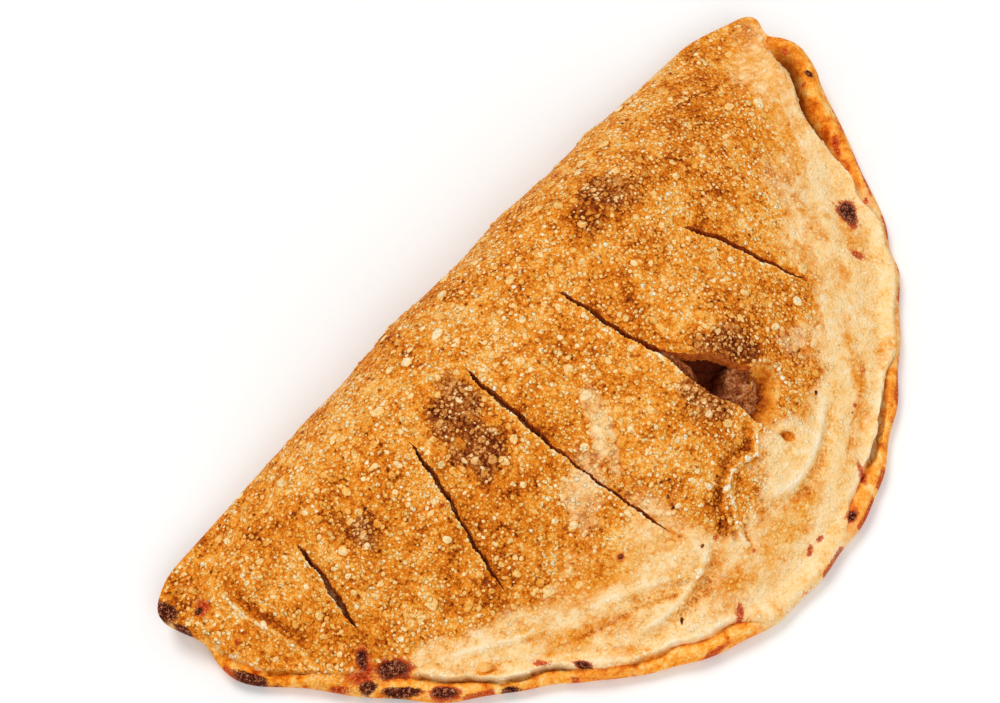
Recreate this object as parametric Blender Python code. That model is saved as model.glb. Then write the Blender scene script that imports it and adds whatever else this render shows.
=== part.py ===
"""A baked calzone: a round of dough folded over its filling into a half moon.

The folded edge lies along +X and faces +Y. The sealed rim curves round the -Y side.
Millimetres are used for every size below, and MM turns them into Blender's metres.
The origin is under the middle of the part, on the surface that it rests on, with +Z up.
"""
import math

import bmesh
import bpy
from mathutils import Vector

MM = 0.001

# Driving dimensions.
HALF_LENGTH = 137.0       # from the middle to either tip, along the fold
RIM_REACH = 126.2         # from the rim curve's centre line out to the middle of the rim
RIM_CENTRE_Y = -12.0      # the line that the rim curve is measured from
FOLD_Y = 10.2             # how far the folded edge stands on the +Y side
FOLD_BOW = 1.8            # how far the folded edge falls back 100 mm away from its crest
FOLD_CREST_X = 65.0       # where along X the folded edge stands furthest out
FOLD_TURN = 7.0           # how far the folded edge turns in towards the +X tip
TIP_ROUNDING = 9.0        # how softly the fold and the rim meet at the -X tip
TIP_POINT = 4.5           # how much less that is at the +X tip
RIM_FULLNESS = 1.625      # exponent of the rim curve: 2 is an ellipse, 1 a straight diamond
RIM_SKEW = 0.125          # the +X half of the rim is fuller by this, and the -X half flatter

CROWN_HEIGHT = 38.0       # top of the puffed body
TIP_HEIGHT = 19.0         # height of the body near the tips
FOLD_EDGE_Z = 11.0        # height at which the folded side stands furthest out
RIM_EDGE_Z = 2.6          # the same on the thin rim
FOLD_ROUND = 30.0         # how far in from the fold the side has risen to the body's height
FOLD_UNDERCUT = 9.0       # how far in from the fold the underside touches down
RIM_UNDERCUT = 3.0        # the same on the rim

LIP_WIDTH = 8.0           # flat lip of sealed dough round the rim
LIP_HEIGHT = 6.2          # top of that lip
GROOVE_DEPTH = 2.4        # crimped groove between the lip and the body
GROOVE_WIDTH = 2.6
SLOPE_RUN = 82.0          # how far in from the lip the body reaches its height
SLOPE_POWER = 2.2

CRUST_THICKNESS = 4.5     # dough over the filling
BASE_THICKNESS = 4.0      # dough under the filling
FOLD_WALL = 7.0           # dough at the folded side
RIM_WALL = 15.0           # dough from the rim's edge in to the filling
FILLING_GAP = 0.5         # clearance between the filling and the dough
THINNEST_FILLING = 2.4    # height of the space for the filling at its thinnest, before its edge rounds off

# The sizes above and below are laid out from the line between the two tips. This plan point lies under the
# middle of the part's bounding box, and becomes the part's origin.
ORIGIN = (-0.7, -63.8)

# A ray from this plan point meets the outline once, whichever way it points.
PLAN_CENTRE = (0.0, -45.0)

# Uneven hand-sealed outline: (angle at the plan centre in degrees, width in degrees, millimetres outwards).
RIM_WAVES = (
    (21, 4, 0.2), (163, 2.5, 2.0), (168, 3, -2.5), (175, 4, 2.2), (217, 12, -1.9), (226, 4, -1.2),
    (245, 5, 1.3), (295, 9, 2.8), (340, 3, -1.8), (350, 6, -2.0), (2, 9, -3.6), (16.5, 1.8, -3.0),
    (9.5, 3, 0.8), (14.5, 2.5, -2.0),
)

# The ear: by the +X tip the lip rolls up beside the body, with a deep groove between them.
EAR_ANGLE = 4.0           # middle of the ear, seen from the plan centre, in degrees
EAR_SPREAD = 9.0          # and how far it runs either way
EAR_WIDTH = 4.0           # how much wider than the plain lip
EAR_RISE = 6.0            # and how much higher
EAR_GROOVE = 5.5          # and how much deeper its groove

# Bulges where the dough puffed up, and dips between them: (x, y, radius, rise).
BULGES = (
    (-37, -35, 20, 2.5), (42, -17, 22, 2.0), (38, -70, 13, 3.0), (12, -82, 16, 2.5),
    (-81, -33, 18, 2.0), (95, -40, 22, 2.0), (0, -45, 12, -1.5), (-72, -60, 14, -2.0),
    (62, -55, 10, -1.5), (-12, -98, 15, 2.0),
)

# Vents slit through the top: (start x, start y, end x, end y, width, sideways sag).
VENTS = (
    (-96.0, -21.0, -100.0, -49.0, 1.6, 0.4),
    (-54.0, -27.0, -64.0, -74.0, 1.8, -1.2),
    (-26.0, -23.0, -19.0, -99.0, 2.0, -1.8),
    (11.0, -28.0, 21.0, -72.0, 2.0, -1.4),
    (54.0, -39.0, 71.0, -74.0, 1.8, 0.9),
    (26.5, -84.0, 28.0, -105.0, 1.8, 0.5),
)
VENT_SIDES = 16
VENT_DEPTH = 9.0          # how far below the dough the cutters reach, which follows its slope

# The torn hole in the middle of one vent: from one end to the other, and its width.
TEAR_START = (21.5, -69.0)
TEAR_END = (28.5, -90.0)
TEAR_WIDTH = 9.0
TEAR_PIT = 9.0            # how far the filling has sunk under the -X end of the hole
TEAR_LUMP = (28.0, -84.0, 4.5, 5.0)  # x, y, radius and rise of the lump that shows at its other end

SEGMENTS = 104
RINGS = 26
INNER_SEGMENTS = 56
INNER_RINGS = 14


def to_part(plan, height):
    """A plan point and a height, in millimetres, as a point in the part's own frame, in metres."""
    return Vector((plan[0] - ORIGIN[0], plan[1] - ORIGIN[1], height)) * MM


def clamp(value, low=0.0, high=1.0):
    return max(low, min(high, value))


def ramp(value, start, end):
    t = clamp((value - start) / (end - start))
    return t * t * (3 - 2 * t)


def smooth_step(value, start, end):
    t = clamp((value - start) / (end - start))
    return t * t * (3 - 2 * t)


def quarter_round(distance, run):
    """0 at the edge, rising steeply and then level: a quarter of an ellipse."""
    t = clamp(distance / run)
    return math.sqrt(1 - (1 - t) ** 2)


def bump(distance, width):
    return math.exp(-((distance / width) ** 2))


def angle_apart(a, b):
    return (a - b + 180) % 360 - 180


def fold_gap(x, y):
    """Distance in from the folded edge."""
    turned = FOLD_TURN * ramp(x, 108, 140)
    return FOLD_Y - FOLD_BOW * ((x - FOLD_CREST_X) / 100) ** 2 - turned - y


def rim_wave(x, y):
    angle = math.degrees(math.atan2(y - PLAN_CENTRE[1], x - PLAN_CENTRE[0]))
    waves = sum(out * bump(angle_apart(angle, at), width) for at, width, out in RIM_WAVES)
    ripple = 0.5 * math.sin(math.radians(13 * angle)) + 0.35 * math.sin(math.radians(29 * angle + 40))
    return waves + ripple


def rim_gap(x, y):
    """Distance in from the sealed rim, which is a superellipse with hand-made waves."""
    power = RIM_FULLNESS + RIM_SKEW * math.tanh(x / 30)
    u = abs(x) / HALF_LENGTH + 1e-9
    v = abs(y - RIM_CENTRE_Y) / RIM_REACH + 1e-9
    level = (u ** power + v ** power) ** (1 / power)
    slope_x = u ** (power - 1) / HALF_LENGTH * level ** (1 - power)
    slope_y = v ** (power - 1) / RIM_REACH * level ** (1 - power)
    near_rim = 1 - smooth_step(1 - level, 0.05, 0.5)
    return (1 - level) / math.hypot(slope_x, slope_y) + near_rim * rim_wave(x, y)


def edge_gap(x, y, fold_inset=0.0, rim_inset=0.0):
    """Distance in from the nearer edge, blended where the fold and the rim meet."""
    fold = fold_gap(x, y) - fold_inset
    rim = rim_gap(x, y) - rim_inset
    rounding = TIP_ROUNDING - TIP_POINT * ramp(x, 90, 130)
    share = clamp(0.5 + 0.5 * (rim - fold) / rounding)
    return rim * (1 - share) + fold * share - rounding * share * (1 - share)


def ear(x, y):
    """1 in the middle of the ear, fading to 0 either way along the rim."""
    angle = math.degrees(math.atan2(y - PLAN_CENTRE[1], x - PLAN_CENTRE[0]))
    return bump(angle_apart(angle, EAR_ANGLE), EAR_SPREAD)


def body_height(x, y):
    """Height of the puffed body, before its edges round off."""
    along = abs(x) / HALF_LENGTH
    ridge = TIP_HEIGHT + (CROWN_HEIGHT - TIP_HEIGHT) * (1 - along ** 2.3)
    return ridge + sum(rise * bump(math.hypot(x - bx, y - by), radius) for bx, by, radius, rise in BULGES)


def edge_height(y):
    return RIM_EDGE_Z + (FOLD_EDGE_Z - RIM_EDGE_Z) * smooth_step(y, -42, -2)


def top_height(x, y):
    fold = fold_gap(x, y)
    rim = rim_gap(x, y)
    edge = edge_height(y)
    lip_width = LIP_WIDTH + EAR_WIDTH * ear(x, y)
    slope = 1 - (1 - clamp((rim - lip_width) / SLOPE_RUN)) ** SLOPE_POWER
    on_rim = 1 - smooth_step(y, -20, 0)
    rise = LIP_HEIGHT - RIM_EDGE_Z + EAR_RISE * ear(x, y)
    lip = edge + rise * quarter_round(edge_gap(x, y), LIP_WIDTH / 2) * on_rim
    groove = (GROOVE_DEPTH + EAR_GROOVE * ear(x, y)) * bump(rim - lip_width, GROOVE_WIDTH) * on_rim
    body = (body_height(x, y) - lip) * slope * quarter_round(fold, FOLD_ROUND)
    return max(lip - groove + body, edge)


def under_height(x, y):
    reach = RIM_UNDERCUT + (FOLD_UNDERCUT - RIM_UNDERCUT) * smooth_step(y, -42, -2)
    return edge_height(y) * (1 - quarter_round(edge_gap(x, y), reach))


def outline_point(angle, fold_inset=0.0, rim_inset=0.0):
    """The outline's point on the ray at this angle, by halving."""
    near, far = 5.0, 200.0
    for _ in range(40):
        middle = (near + far) / 2
        x = PLAN_CENTRE[0] + middle * math.cos(angle)
        y = PLAN_CENTRE[1] + middle * math.sin(angle)
        if edge_gap(x, y, fold_inset, rim_inset) > 0:
            near = middle
        else:
            far = middle
    return Vector((x, y))


def even_outline(segments, fold_inset=0.0, rim_inset=0.0):
    """Outline points an even distance apart, anticlockwise from the +X side."""
    fine = [outline_point(2 * math.pi * i / 720, fold_inset, rim_inset) for i in range(721)]
    along = [0.0]
    for before, after in zip(fine, fine[1:]):
        along.append(along[-1] + (after - before).length)
    points = []
    index = 0
    for i in range(segments):
        target = along[-1] * i / segments
        while along[index + 1] < target:
            index += 1
        share = (target - along[index]) / (along[index + 1] - along[index])
        points.append(fine[index].lerp(fine[index + 1], share))
    return points


def lens(name, segments, rings, outline, top, under):
    """A sphere pressed into a plan outline, with its upper half on one surface and its lower half on another."""
    mesh = bpy.data.meshes.new(name)
    shape = bmesh.new()
    bmesh.ops.create_uvsphere(shape, u_segments=segments, v_segments=rings, radius=1)
    centre = Vector(PLAN_CENTRE)
    for vertex in shape.verts:
        turn = math.atan2(vertex.co.y, vertex.co.x) / (2 * math.pi) * segments
        edge = outline[round(turn) % segments]
        spread = math.hypot(vertex.co.x, vertex.co.y)
        plan = centre.lerp(edge, min(spread, 1.0))
        surface = top if vertex.co.z > -1e-6 else under
        vertex.co = to_part(plan, surface(plan.x, plan.y))
    bmesh.ops.triangulate(shape, faces=shape.faces)
    shape.to_mesh(mesh)
    shape.free()
    mesh.shade_smooth()
    return bpy.data.objects.new(name, mesh)


def cavity_surfaces(inset):
    """The top and the underside of the space for the filling, drawn in by inset on every side."""
    fold_inset = FOLD_WALL + 3 * inset
    rim_inset = RIM_WALL + 3 * inset

    def floor(x, y):
        return BASE_THICKNESS + inset

    def roof(x, y):
        thickness = max(top_height(x, y) - CRUST_THICKNESS - BASE_THICKNESS, THINNEST_FILLING) - 2 * inset
        return floor(x, y) + thickness * quarter_round(edge_gap(x, y, fold_inset, rim_inset), 14.0)

    return fold_inset, rim_inset, roof, floor


def pit_depth(x, y):
    """How far the filling has sunk below the torn hole, less the lump that still stands there."""
    sunk = TEAR_PIT * bump(math.hypot(x - TEAR_START[0], y - TEAR_START[1] + 4), 10.0)
    lump_x, lump_y, radius, rise = TEAR_LUMP
    return max(sunk - rise * bump(math.hypot(x - lump_x, y - lump_y), radius), 0.0)


def material(name, colour, roughness):
    made = bpy.data.materials.new(name)
    made.use_nodes = True
    shader = made.node_tree.nodes["Principled BSDF"]
    shader.inputs["Base Color"].default_value = (*colour, 1)
    shader.inputs["Roughness"].default_value = roughness
    shader.inputs["Metallic"].default_value = 0
    return made


def put(made, collection, finish):
    collection.objects.link(made)
    made.data.materials.append(finish)
    return made


def cutter(made, collection):
    """Marks an object as one that only cuts."""
    if made.name not in collection.objects:
        for holder in list(made.users_collection):
            holder.objects.unlink(made)
        collection.objects.link(made)
    made.hide_render = True
    made.display_type = "WIRE"
    return made


def cut(target, tool):
    modifier = target.modifiers.new("cut_" + tool.name, "BOOLEAN")
    modifier.operation = "DIFFERENCE"
    modifier.object = tool


def upright_slot(name, start, end, width, sag, depth):
    """A tall narrow lens between two plan points, bowed sideways by sag, that cuts a slit through the top."""
    run = Vector(end) - Vector(start)
    middle = (Vector(end) + Vector(start)) / 2
    low = max(top_height(*middle) - CRUST_THICKNESS - depth, BASE_THICKNESS + 2)
    high = CROWN_HEIGHT + 20
    mesh = bpy.data.meshes.new(name)
    shape = bmesh.new()
    bmesh.ops.create_cone(shape, cap_ends=True, segments=VENT_SIDES, radius1=1, radius2=1, depth=1)
    for vertex in shape.verts:
        along = vertex.co.x
        vertex.co.x = along * run.length / 2
        vertex.co.y = vertex.co.y * width / 2 + sag * (1 - along * along)
        vertex.co.z = high if vertex.co.z > 0 else low
        vertex.co *= MM
    shape.to_mesh(mesh)
    shape.free()
    made = bpy.data.objects.new(name, mesh)
    made.location = to_part(middle, 0)
    made.rotation_euler.z = math.atan2(run.y, run.x)
    return made


def build_crust(parts, cutters, finish):
    crust = lens("crust", SEGMENTS, RINGS, even_outline(SEGMENTS), top_height, under_height)
    put(crust, parts, finish)
    fold_inset, rim_inset, roof, floor = cavity_surfaces(0.0)
    outline = even_outline(INNER_SEGMENTS, fold_inset, rim_inset)
    hollow = cutter(lens("cavity", INNER_SEGMENTS, INNER_RINGS, outline, roof, floor), cutters)
    cut(crust, hollow)
    for number, (x0, y0, x1, y1, width, sag) in enumerate(VENTS, start=1):
        cut(crust, cutter(upright_slot(f"vent_{number}", (x0, y0), (x1, y1), width, sag, VENT_DEPTH), cutters))
    cut(crust, cutter(upright_slot("tear", TEAR_START, TEAR_END, TEAR_WIDTH, 0.0, VENT_DEPTH), cutters))
    return crust


def build_filling(parts, finish):
    fold_inset, rim_inset, roof, floor = cavity_surfaces(FILLING_GAP)
    outline = even_outline(INNER_SEGMENTS, fold_inset, rim_inset)

    def sunk_roof(x, y):
        return max(roof(x, y) - pit_depth(x, y), floor(x, y))

    return put(lens("filling", INNER_SEGMENTS, INNER_RINGS, outline, sunk_roof, floor), parts, finish)


def main():
    for left_over in list(bpy.data.objects):
        bpy.data.objects.remove(left_over)
    parts = bpy.data.collections.new("calzone")
    cutters = bpy.data.collections.new("cutters")
    for collection in (parts, cutters):
        bpy.context.scene.collection.children.link(collection)
    build_crust(parts, cutters, material("baked_dough", (0.62, 0.33, 0.10), 0.65))
    build_filling(parts, material("browned_filling", (0.22, 0.09, 0.04), 0.5))


main()
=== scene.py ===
"""The looks of a baked calzone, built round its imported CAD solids.

Plan positions are in millimetres: X runs along the folded edge, and the sealed rim curves round the -Y side.
The crust is one closed hollow mesh, cut through by the slits. Its blisters are small domes that sit on it.
"""
import math

import bpy
import numpy as np
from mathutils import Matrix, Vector, geometry


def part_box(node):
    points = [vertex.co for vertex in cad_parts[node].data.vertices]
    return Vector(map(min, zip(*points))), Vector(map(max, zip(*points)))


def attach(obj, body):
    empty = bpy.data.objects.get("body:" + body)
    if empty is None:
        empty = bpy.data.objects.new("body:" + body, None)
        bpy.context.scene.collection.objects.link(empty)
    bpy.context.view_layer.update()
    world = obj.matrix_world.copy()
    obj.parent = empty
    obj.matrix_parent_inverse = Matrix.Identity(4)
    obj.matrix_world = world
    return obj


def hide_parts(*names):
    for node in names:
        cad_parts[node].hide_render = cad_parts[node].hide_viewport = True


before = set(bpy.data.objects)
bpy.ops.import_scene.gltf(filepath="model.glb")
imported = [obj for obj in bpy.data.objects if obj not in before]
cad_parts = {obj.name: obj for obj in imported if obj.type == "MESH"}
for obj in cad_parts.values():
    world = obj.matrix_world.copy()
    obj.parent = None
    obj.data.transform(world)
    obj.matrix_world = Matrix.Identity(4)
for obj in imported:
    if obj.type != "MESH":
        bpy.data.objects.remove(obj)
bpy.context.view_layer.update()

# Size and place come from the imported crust.
CRUST_LOW, CRUST_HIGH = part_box("crust")
CRUST_LENGTH = 272.7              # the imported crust's length in the millimetres used below
PLAN_MIDDLE = (-0.7, -63.8)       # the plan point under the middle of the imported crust
MM = (CRUST_HIGH.x - CRUST_LOW.x) / CRUST_LENGTH

# Outline: the same form as the CAD crust.
HALF_LENGTH = 137.0
RIM_REACH = 126.2
RIM_CENTRE_Y = -12.0
FOLD_Y = 10.2
FOLD_BOW = 1.8
FOLD_CREST_X = 65.0
FOLD_TURN = 7.0
TIP_ROUNDING = 9.0
TIP_POINT = 4.5
RIM_FULLNESS = 1.625
RIM_SKEW = 0.125
PLAN_CENTRE = (0.0, -45.0)        # a ray from here meets the outline once, whichever way it points
RIM_WAVES = (                     # angle, width in degrees, millimetres outwards
    (21, 4, 0.2), (163, 2.5, 2.0), (168, 3, -2.5), (175, 4, 2.2), (217, 12, -1.9), (226, 4, -1.2),
    (245, 5, 1.3), (295, 9, 2.8), (340, 3, -1.8), (350, 6, -2.0), (2, 9, -3.6), (16.5, 1.8, -3.0),
    (9.5, 3, 0.8), (14.5, 2.5, -2.0),
)

# Heights.
CROWN_HEIGHT = 38.0
TIP_HEIGHT = 19.0
FOLD_EDGE_Z = 11.0
RIM_EDGE_Z = 2.6
FOLD_ROUND = 30.0
FOLD_UNDERCUT = 9.0
RIM_UNDERCUT = 3.0
LIP_HEIGHT = 6.2
SLOPE_START = 7.0
SLOPE_RUN = 82.0
SLOPE_POWER = 2.2
CRUST_THICKNESS = 4.5
BASE_THICKNESS = 4.0
FOLD_WALL = 7.0
RIM_WALL = 15.0
CAVITY_ROUND = 14.0
THINNEST_FILLING = 2.4
BULGES = (                        # x, y, radius, rise
    (-37, -35, 20, 2.5), (42, -17, 22, 2.0), (38, -70, 13, 3.0), (12, -82, 16, 2.5),
    (-81, -33, 18, 2.0), (95, -40, 22, 2.0), (0, -45, 12, -1.5), (-72, -60, 14, -2.0),
    (62, -55, 10, -1.5), (-12, -98, 15, 2.0),
)

# The lower lip that shows outside the upper layer's edge: angle, how wide, and how sharp the step between them is.
LIP = (
    (-178, 5.0, 0.3), (-170, 5.0, 0.3), (-165, 6.5, 1.0), (-158, 5.6, 1.0), (-151, 2.5, 0.9), (-143, 4.0, 1.0),
    (-135, 3.3, 0.9), (-127, 3.0, 0.9), (-118, 5.0, 1.0), (-111, 5.5, 1.0), (-104, 5.5, 0.9), (-99, 1.0, 0.0),
    (-78, 0.5, 0.0), (-70, 6.5, 0.8), (-62, 5.6, 1.0), (-54, 3.2, 0.8), (-47, 5.0, 0.7), (-42, 3.8, 0.6),
    (-38, 1.5, 0.3), (-16, 1.2, 0.3), (-10, 4.5, 0.3), (-6.8, 3.6, 0.8), (0, 9.0, 1.0), (6, 11.9, 1.0),
    (12.6, 10.4, 1.0), (14.8, 6.8, 0.9), (17, 1.5, 0.3), (20, 1.0, 0.0), (164, 1.5, 0.0), (170, 1.5, 0.3),
    (174, 4.0, 0.7), (179, 3.5, 0.8),
)
STEP_RISE = 2.3                   # height of that step
STEP_FADE = 7.0                   # how far in the raised edge of the upper layer falls away
GROOVE_DEPTH = 1.2
EAR_RISE = 5.6                    # the ear: a lip rolled up beside the body by the +X tip
EAR_GROOVE = 5.0
EAR = ((-7, 0.0), (-2, 0.45), (3, 0.9), (8, 1.0), (12.5, 0.9), (15.5, 0.5), (18, 0.0))  # angle, strength

# Slits: points on the middle line, then (share of the length, width) pairs, then the height of the raised edge.
SLITS = (
    (((-96.2, -21), (-96.9, -31), (-98.7, -40), (-100.4, -49.5)),
     ((0, 0), (0.1, 1.0), (0.35, 0.9), (0.6, 2.2), (0.8, 1.6), (1, 0)), 0.9),
    (((-53.7, -26.6), (-57, -43.7), (-60.8, -58), (-64.3, -75)),
     ((0, 0), (0.06, 0.8), (0.2, 1.6), (0.42, 1.4), (0.52, 0.9), (0.65, 1.2), (0.88, 1.0), (1, 0)), 0.6),
    (((-26.3, -23.4), (-27, -30.1), (-26.8, -38), (-26.5, -45.7), (-26.3, -55.5), (-25.4, -64.6), (-24.4, -73.7),
      (-21.6, -89.1), (-19.3, -100)),
     ((0, 0), (0.04, 1.5), (0.2, 2.3), (0.36, 1.9), (0.5, 1.0), (0.6, 0.9), (0.78, 0.8), (0.88, 1.0), (1, 0)), 0.8),
    (((54, -38.6), (60, -49), (65.3, -62), (71.2, -75.2)),
     ((0, 0), (0.05, 1.8), (0.3, 2.6), (0.6, 2.4), (0.8, 1.9), (0.93, 1.3), (1, 0)), 0.7),
)
TORN_SLIT = ((10.8, -26), (12.9, -36), (13.9, -46.7), (15.5, -55), (16.8, -60.5))
TORN_SLIT_WIDTHS = ((0, 0), (0.06, 1.3), (0.4, 1.9), (0.7, 1.8), (0.85, 2.0), (1, 2.5))
TEAR_RIGHT = ((19.4, -64.4), (22, -67.7), (25.3, -70.7), (27.8, -73.6), (29.8, -77.2), (31.6, -80.4), (33.8, -82.6))
TEAR_LEFT = ((16.2, -64.5), (16.4, -69.5), (17.2, -74.9), (18.4, -81.3), (19.9, -84.4), (22.1, -87.4), (22.9, -89.8))
TEAR_FLOOR_EDGE = ((33, -84.8), (30.8, -87), (27.6, -89.2), (25, -90))
CLIFF = ((22.9, -89.8), (23.2, -92.5), (23.3, -95.1), (24.3, -98), (25.5, -100.4), (26.6, -102))
SCOOP_RIM = ((33.8, -82.6), (37.3, -83.2), (40.1, -84.9), (41, -87.9), (40.2, -90.6), (39.2, -93.2),
             (36.4, -95.8), (32.6, -98.2), (29, -100.4), (26.6, -102))
SCOOP_CRISP = 0.45                  # share of the scoop's rim that has a crisp edge, from the hole round
SCOOP_DEPTH = 4.2
PINHOLE = (28.4, -103.9, 2.6, 1.8, -47)  # a dimple: x, y, half length, half width, turn in degrees
PINHOLE_DEPTH = 1.6
PIT = (22.0, -74.0, 10.0, 14.0)     # the filling sinks away here: x, y, radius, depth
# The rough filling in the tear: its border with the scoop, and the crumbs along the tear's -X edge.
LUMP_BORDER = (28.0, -86.0)
LUMP_INWARD = (-0.57, 0.82)         # from that border towards the hollow
LUMP_DEPTH = 2.7
CRUMBS = ((18.2, -61.5), (18.9, -66), (19.4, -71.5))
JAG = 0.28                          # how ragged the cut edges are

# Creases: points, ridge height, ridge width, dip beside it and its width (on the left of the run if positive).
CREASES = (
    (((24, -93.6), (21.6, -96.6), (18, -99.4), (16.7, -100.9), (14.3, -100.7), (11.7, -99.8), (8.7, -99.6),
      (5.8, -100.2), (2.7, -101.8), (-0.2, -103.6), (-2.5, -106.2), (-4.1, -109), (-8.1, -113.5)), 1.2, 0.6, -1.9, 2.4),
    (((2.7, -101.8), (0.4, -106.5), (-3, -111), (-4.5, -117)), 0.6, 0.6, -0.9, 2.0),
    (((-12, -108), (-20, -112), (-33, -113), (-45, -110)), 0.7, 0.9, 1.0, 3.0),
    (((10, -112), (22, -114), (36, -110), (48, -103)), 0.6, 1.0, -0.8, 3.0),
    (((8.4, -101.4), (6.9, -103.3), (4.1, -104.6), (1.7, -106.8)), -0.5, 0.4, 0.2, 1.2),
    (((-0.1, -112.2), (-1.5, -113.7), (-2.5, -115), (-3.7, -118.5)), -0.6, 0.45, 0.4, 1.4),
    (((-63, -96), (-52, -101), (-40, -106), (-23, -115)), -0.4, 0.7, 0.2, 2.5),
    (((-92, -77.5), (-87.5, -82.6), (-83.7, -85), (-78.9, -86.5), (-74.2, -90.2)), -0.55, 0.8, 0.3, 2.0),
    (((-88, -74), (-76, -82), (-62, -90)), 0.35, 0.8, -0.4, 2.0),
    (((-46, -97), (-30, -106), (-12, -118)), 0.3, 0.8, -0.5, 2.4),
    (((-120.2, -9), (-120.1, -22), (-117.9, -30.7), (-116.1, -40.4), (-116.2, -43.5)), 0.9, 0.7, 1.2, 2.6),
    (((66, -101), (58, -109), (48, -115), (38, -120)), -0.3, 0.6, 0.2, 2.0),
    (((26.2, -101.4), (27.2, -102.8)), -0.9, 0.5, 0.2, 1.0),
)

# Colour patches: x, y, radius, strength.
TOASTED = (
    (-38, -31, 9.5, 1.0), (-42, -42, 8.5, 0.95), (-34, -25, 6, 0.75), (-44, -33, 6, 0.8), (43, -14, 9, 0.8), (50, -18, 7, 0.6),
    (34, -17, 6, 0.6), (59, -17, 8, 0.4), (71, -22, 9, 0.32), (84, -18, 10, 0.35), (98, -10, 9, 0.3), (127, 0, 6, 0.5),
    (28, -69, 4.5, 0.8), (33, -74, 6.5, 1.0), (37, -79, 4.5, 0.9), (48, -86, 8, 0.3), (42, -72, 6, 0.4),
    (15, -76, 4.5, 0.9), (15.8, -81, 4.5, 1.0), (17, -86, 4, 0.75), (11, -81, 4.5, 0.6), (54, -69, 6, 0.3),
    (-81, -34, 6, 0.8), (-83, -28, 4.5, 0.5), (-77, -17, 7, 0.35), (-100, -12, 12, 0.25), (-62, -72, 8, 0.25),
    (-52, -70, 8, 0.25), (2, -40, 9, 0.22), (-126, -4, 7, 0.4), (-104, -34, 9, 0.25), (-108, -52, 9, 0.25),
)
# Burnt and reddened spots: x, y, half length, half width, turn in degrees.
CHARRED = (
    (102.4, -65.8, 5.0, 3.1, 52), (-135.4, -4.5, 4.6, 3.0, -70), (-135.4, -11.5, 3.6, 1.0, -80),
    (-128.4, -11.4, 1.4, 1.0, 0), (-131.5, -35.6, 5.4, 2.0, -62), (-126, -44.5, 6.0, 0.7, -56),
    (-105.4, -56, 2.8, 1.9, 50), (-101.8, -63.8, 5.4, 2.5, -46), (-109.6, -62.7, 3.0, 1.7, -40),
    (-104.2, -70.5, 6.0, 1.3, -46), (-95.5, -80.2, 4.4, 1.6, -46), (-81.6, -93.8, 3.4, 0.9, -44),
    (-62, -104.4, 2.5, 0.5, -50), (27.6, -131.8, 1.8, 1.1, 0), (-34.2, -93, 0.9, 0.7, 0), (-33, -117, 0.9, 0.4, 40),
    (46.3, -100.3, 0.9, 0.6, 40), (128.8, -26.1, 1.6, 0.9, -70), (-11.6, -88.2, 0.5, 0.35, 0), (-9.4, -89.4, 0.5, 0.4, 0),
    (-7.3, -90.6, 0.5, 0.3, 0), (-13, -92.3, 0.5, 0.3, 30), (-14, -95.4, 0.8, 0.4, 0), (11.9, -97.5, 0.6, 0.3, 30),
    (-14.9, -107.9, 0.6, 0.4, 0), (-76, -30, 0.6, 0.5, 0), (-60, -62, 0.6, 0.4, 0),
)
REDDENED = (
    (102.4, -65.8, 5.7, 3.8, 52), (93, -77.5, 2.6, 1.6, -60), (-127.2, -11.6, 2.6, 2.2, 60), (-126.8, -25.7, 1.1, 0.7, 20),
    (-105.4, -57, 3.6, 2.5, 50), (-101.8, -63.8, 6.1, 3.1, -46), (-109.5, -58.8, 4.2, 2.6, -50), (-116, -56.5, 3.4, 1.0, -50),
    (-96, -80.2, 6.0, 2.0, -46), (-70.1, -95.2, 2.6, 0.9, -50), (-18.6, -127, 3.4, 1.1, 40), (-32, -129.4, 5.2, 0.9, -15),
    (-62, -104.2, 3.2, 0.7, -50), (27.8, -131.8, 3.0, 1.8, 0), (15.2, -129.2, 1.3, 0.9, 0), (10.6, -129.6, 1.9, 0.8, 30),
    (64.2, -103.9, 0.9, 0.7, 0), (54.3, -110.2, 1.2, 0.8, 0), (52.2, -111.2, 0.6, 0.5, 0), (39.6, -125, 5.0, 1.1, 62),
    (119.2, -46.4, 2.4, 1.2, 60), (117.3, -49, 1.8, 0.9, 60), (129.2, -15.8, 1.3, 0.8, 60), (125.4, -27.1, 0.9, 0.6, 0),
    (-10.3, -109.3, 0.9, 0.7, 0), (-3.7, -119, 0.9, 0.7, 0), (-34.2, -93, 1.5, 1.2, 0), (111.2, -66.2, 1.2, 0.8, 40),
    (119.5, -56.5, 5.0, 0.9, 66), (58.4, -123, 4.0, 0.8, 40), (-60, -46, 1.0, 0.6, 0), (101, -92, 1.5, 0.8, 0),
)
# Where the dough stayed pale: x, y, half length, half width, turn in degrees, strength.
PALE_BAND = (                     # angle, how far in from the rim the dough stayed pale, how pale
    (-172, 8, 0.2), (-165, 14, 0.5), (-157, 20, 0.75), (-149, 26, 0.75), (-141, 34, 0.8), (-133, 30, 0.78),
    (-125, 32, 0.75), (-117, 38, 0.8), (-109, 38, 0.72), (-101, 32, 0.62), (-93, 22, 0.75), (-85, 24, 0.8),
    (-77, 32, 0.95), (-69, 34, 1.0), (-61, 31, 1.0), (-53, 28, 0.85), (-45, 22, 0.95), (-37, 30, 0.95),
    (-29, 29, 0.95), (-21, 32, 0.95), (-13, 46, 0.7), (-5, 32, 0.9), (3, 36, 0.62), (10, 32, 0.5), (17, 20, 0.4),
    (24, 0, 0.0), (178, 0, 0.0),
)
PALE_PATCHES = ((-12, -64, 12, 3.2, 63, 0.75), (-30, -74, 12, 6, 50, 0.5), (-27, -100, 9, 4, 30, 0.5),
                (24, -108, 16, 10, 20, 1.0), (-24, -98, 12, 8, 20, 0.5), (58, -92, 12, 7, -40, 0.5))
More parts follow.
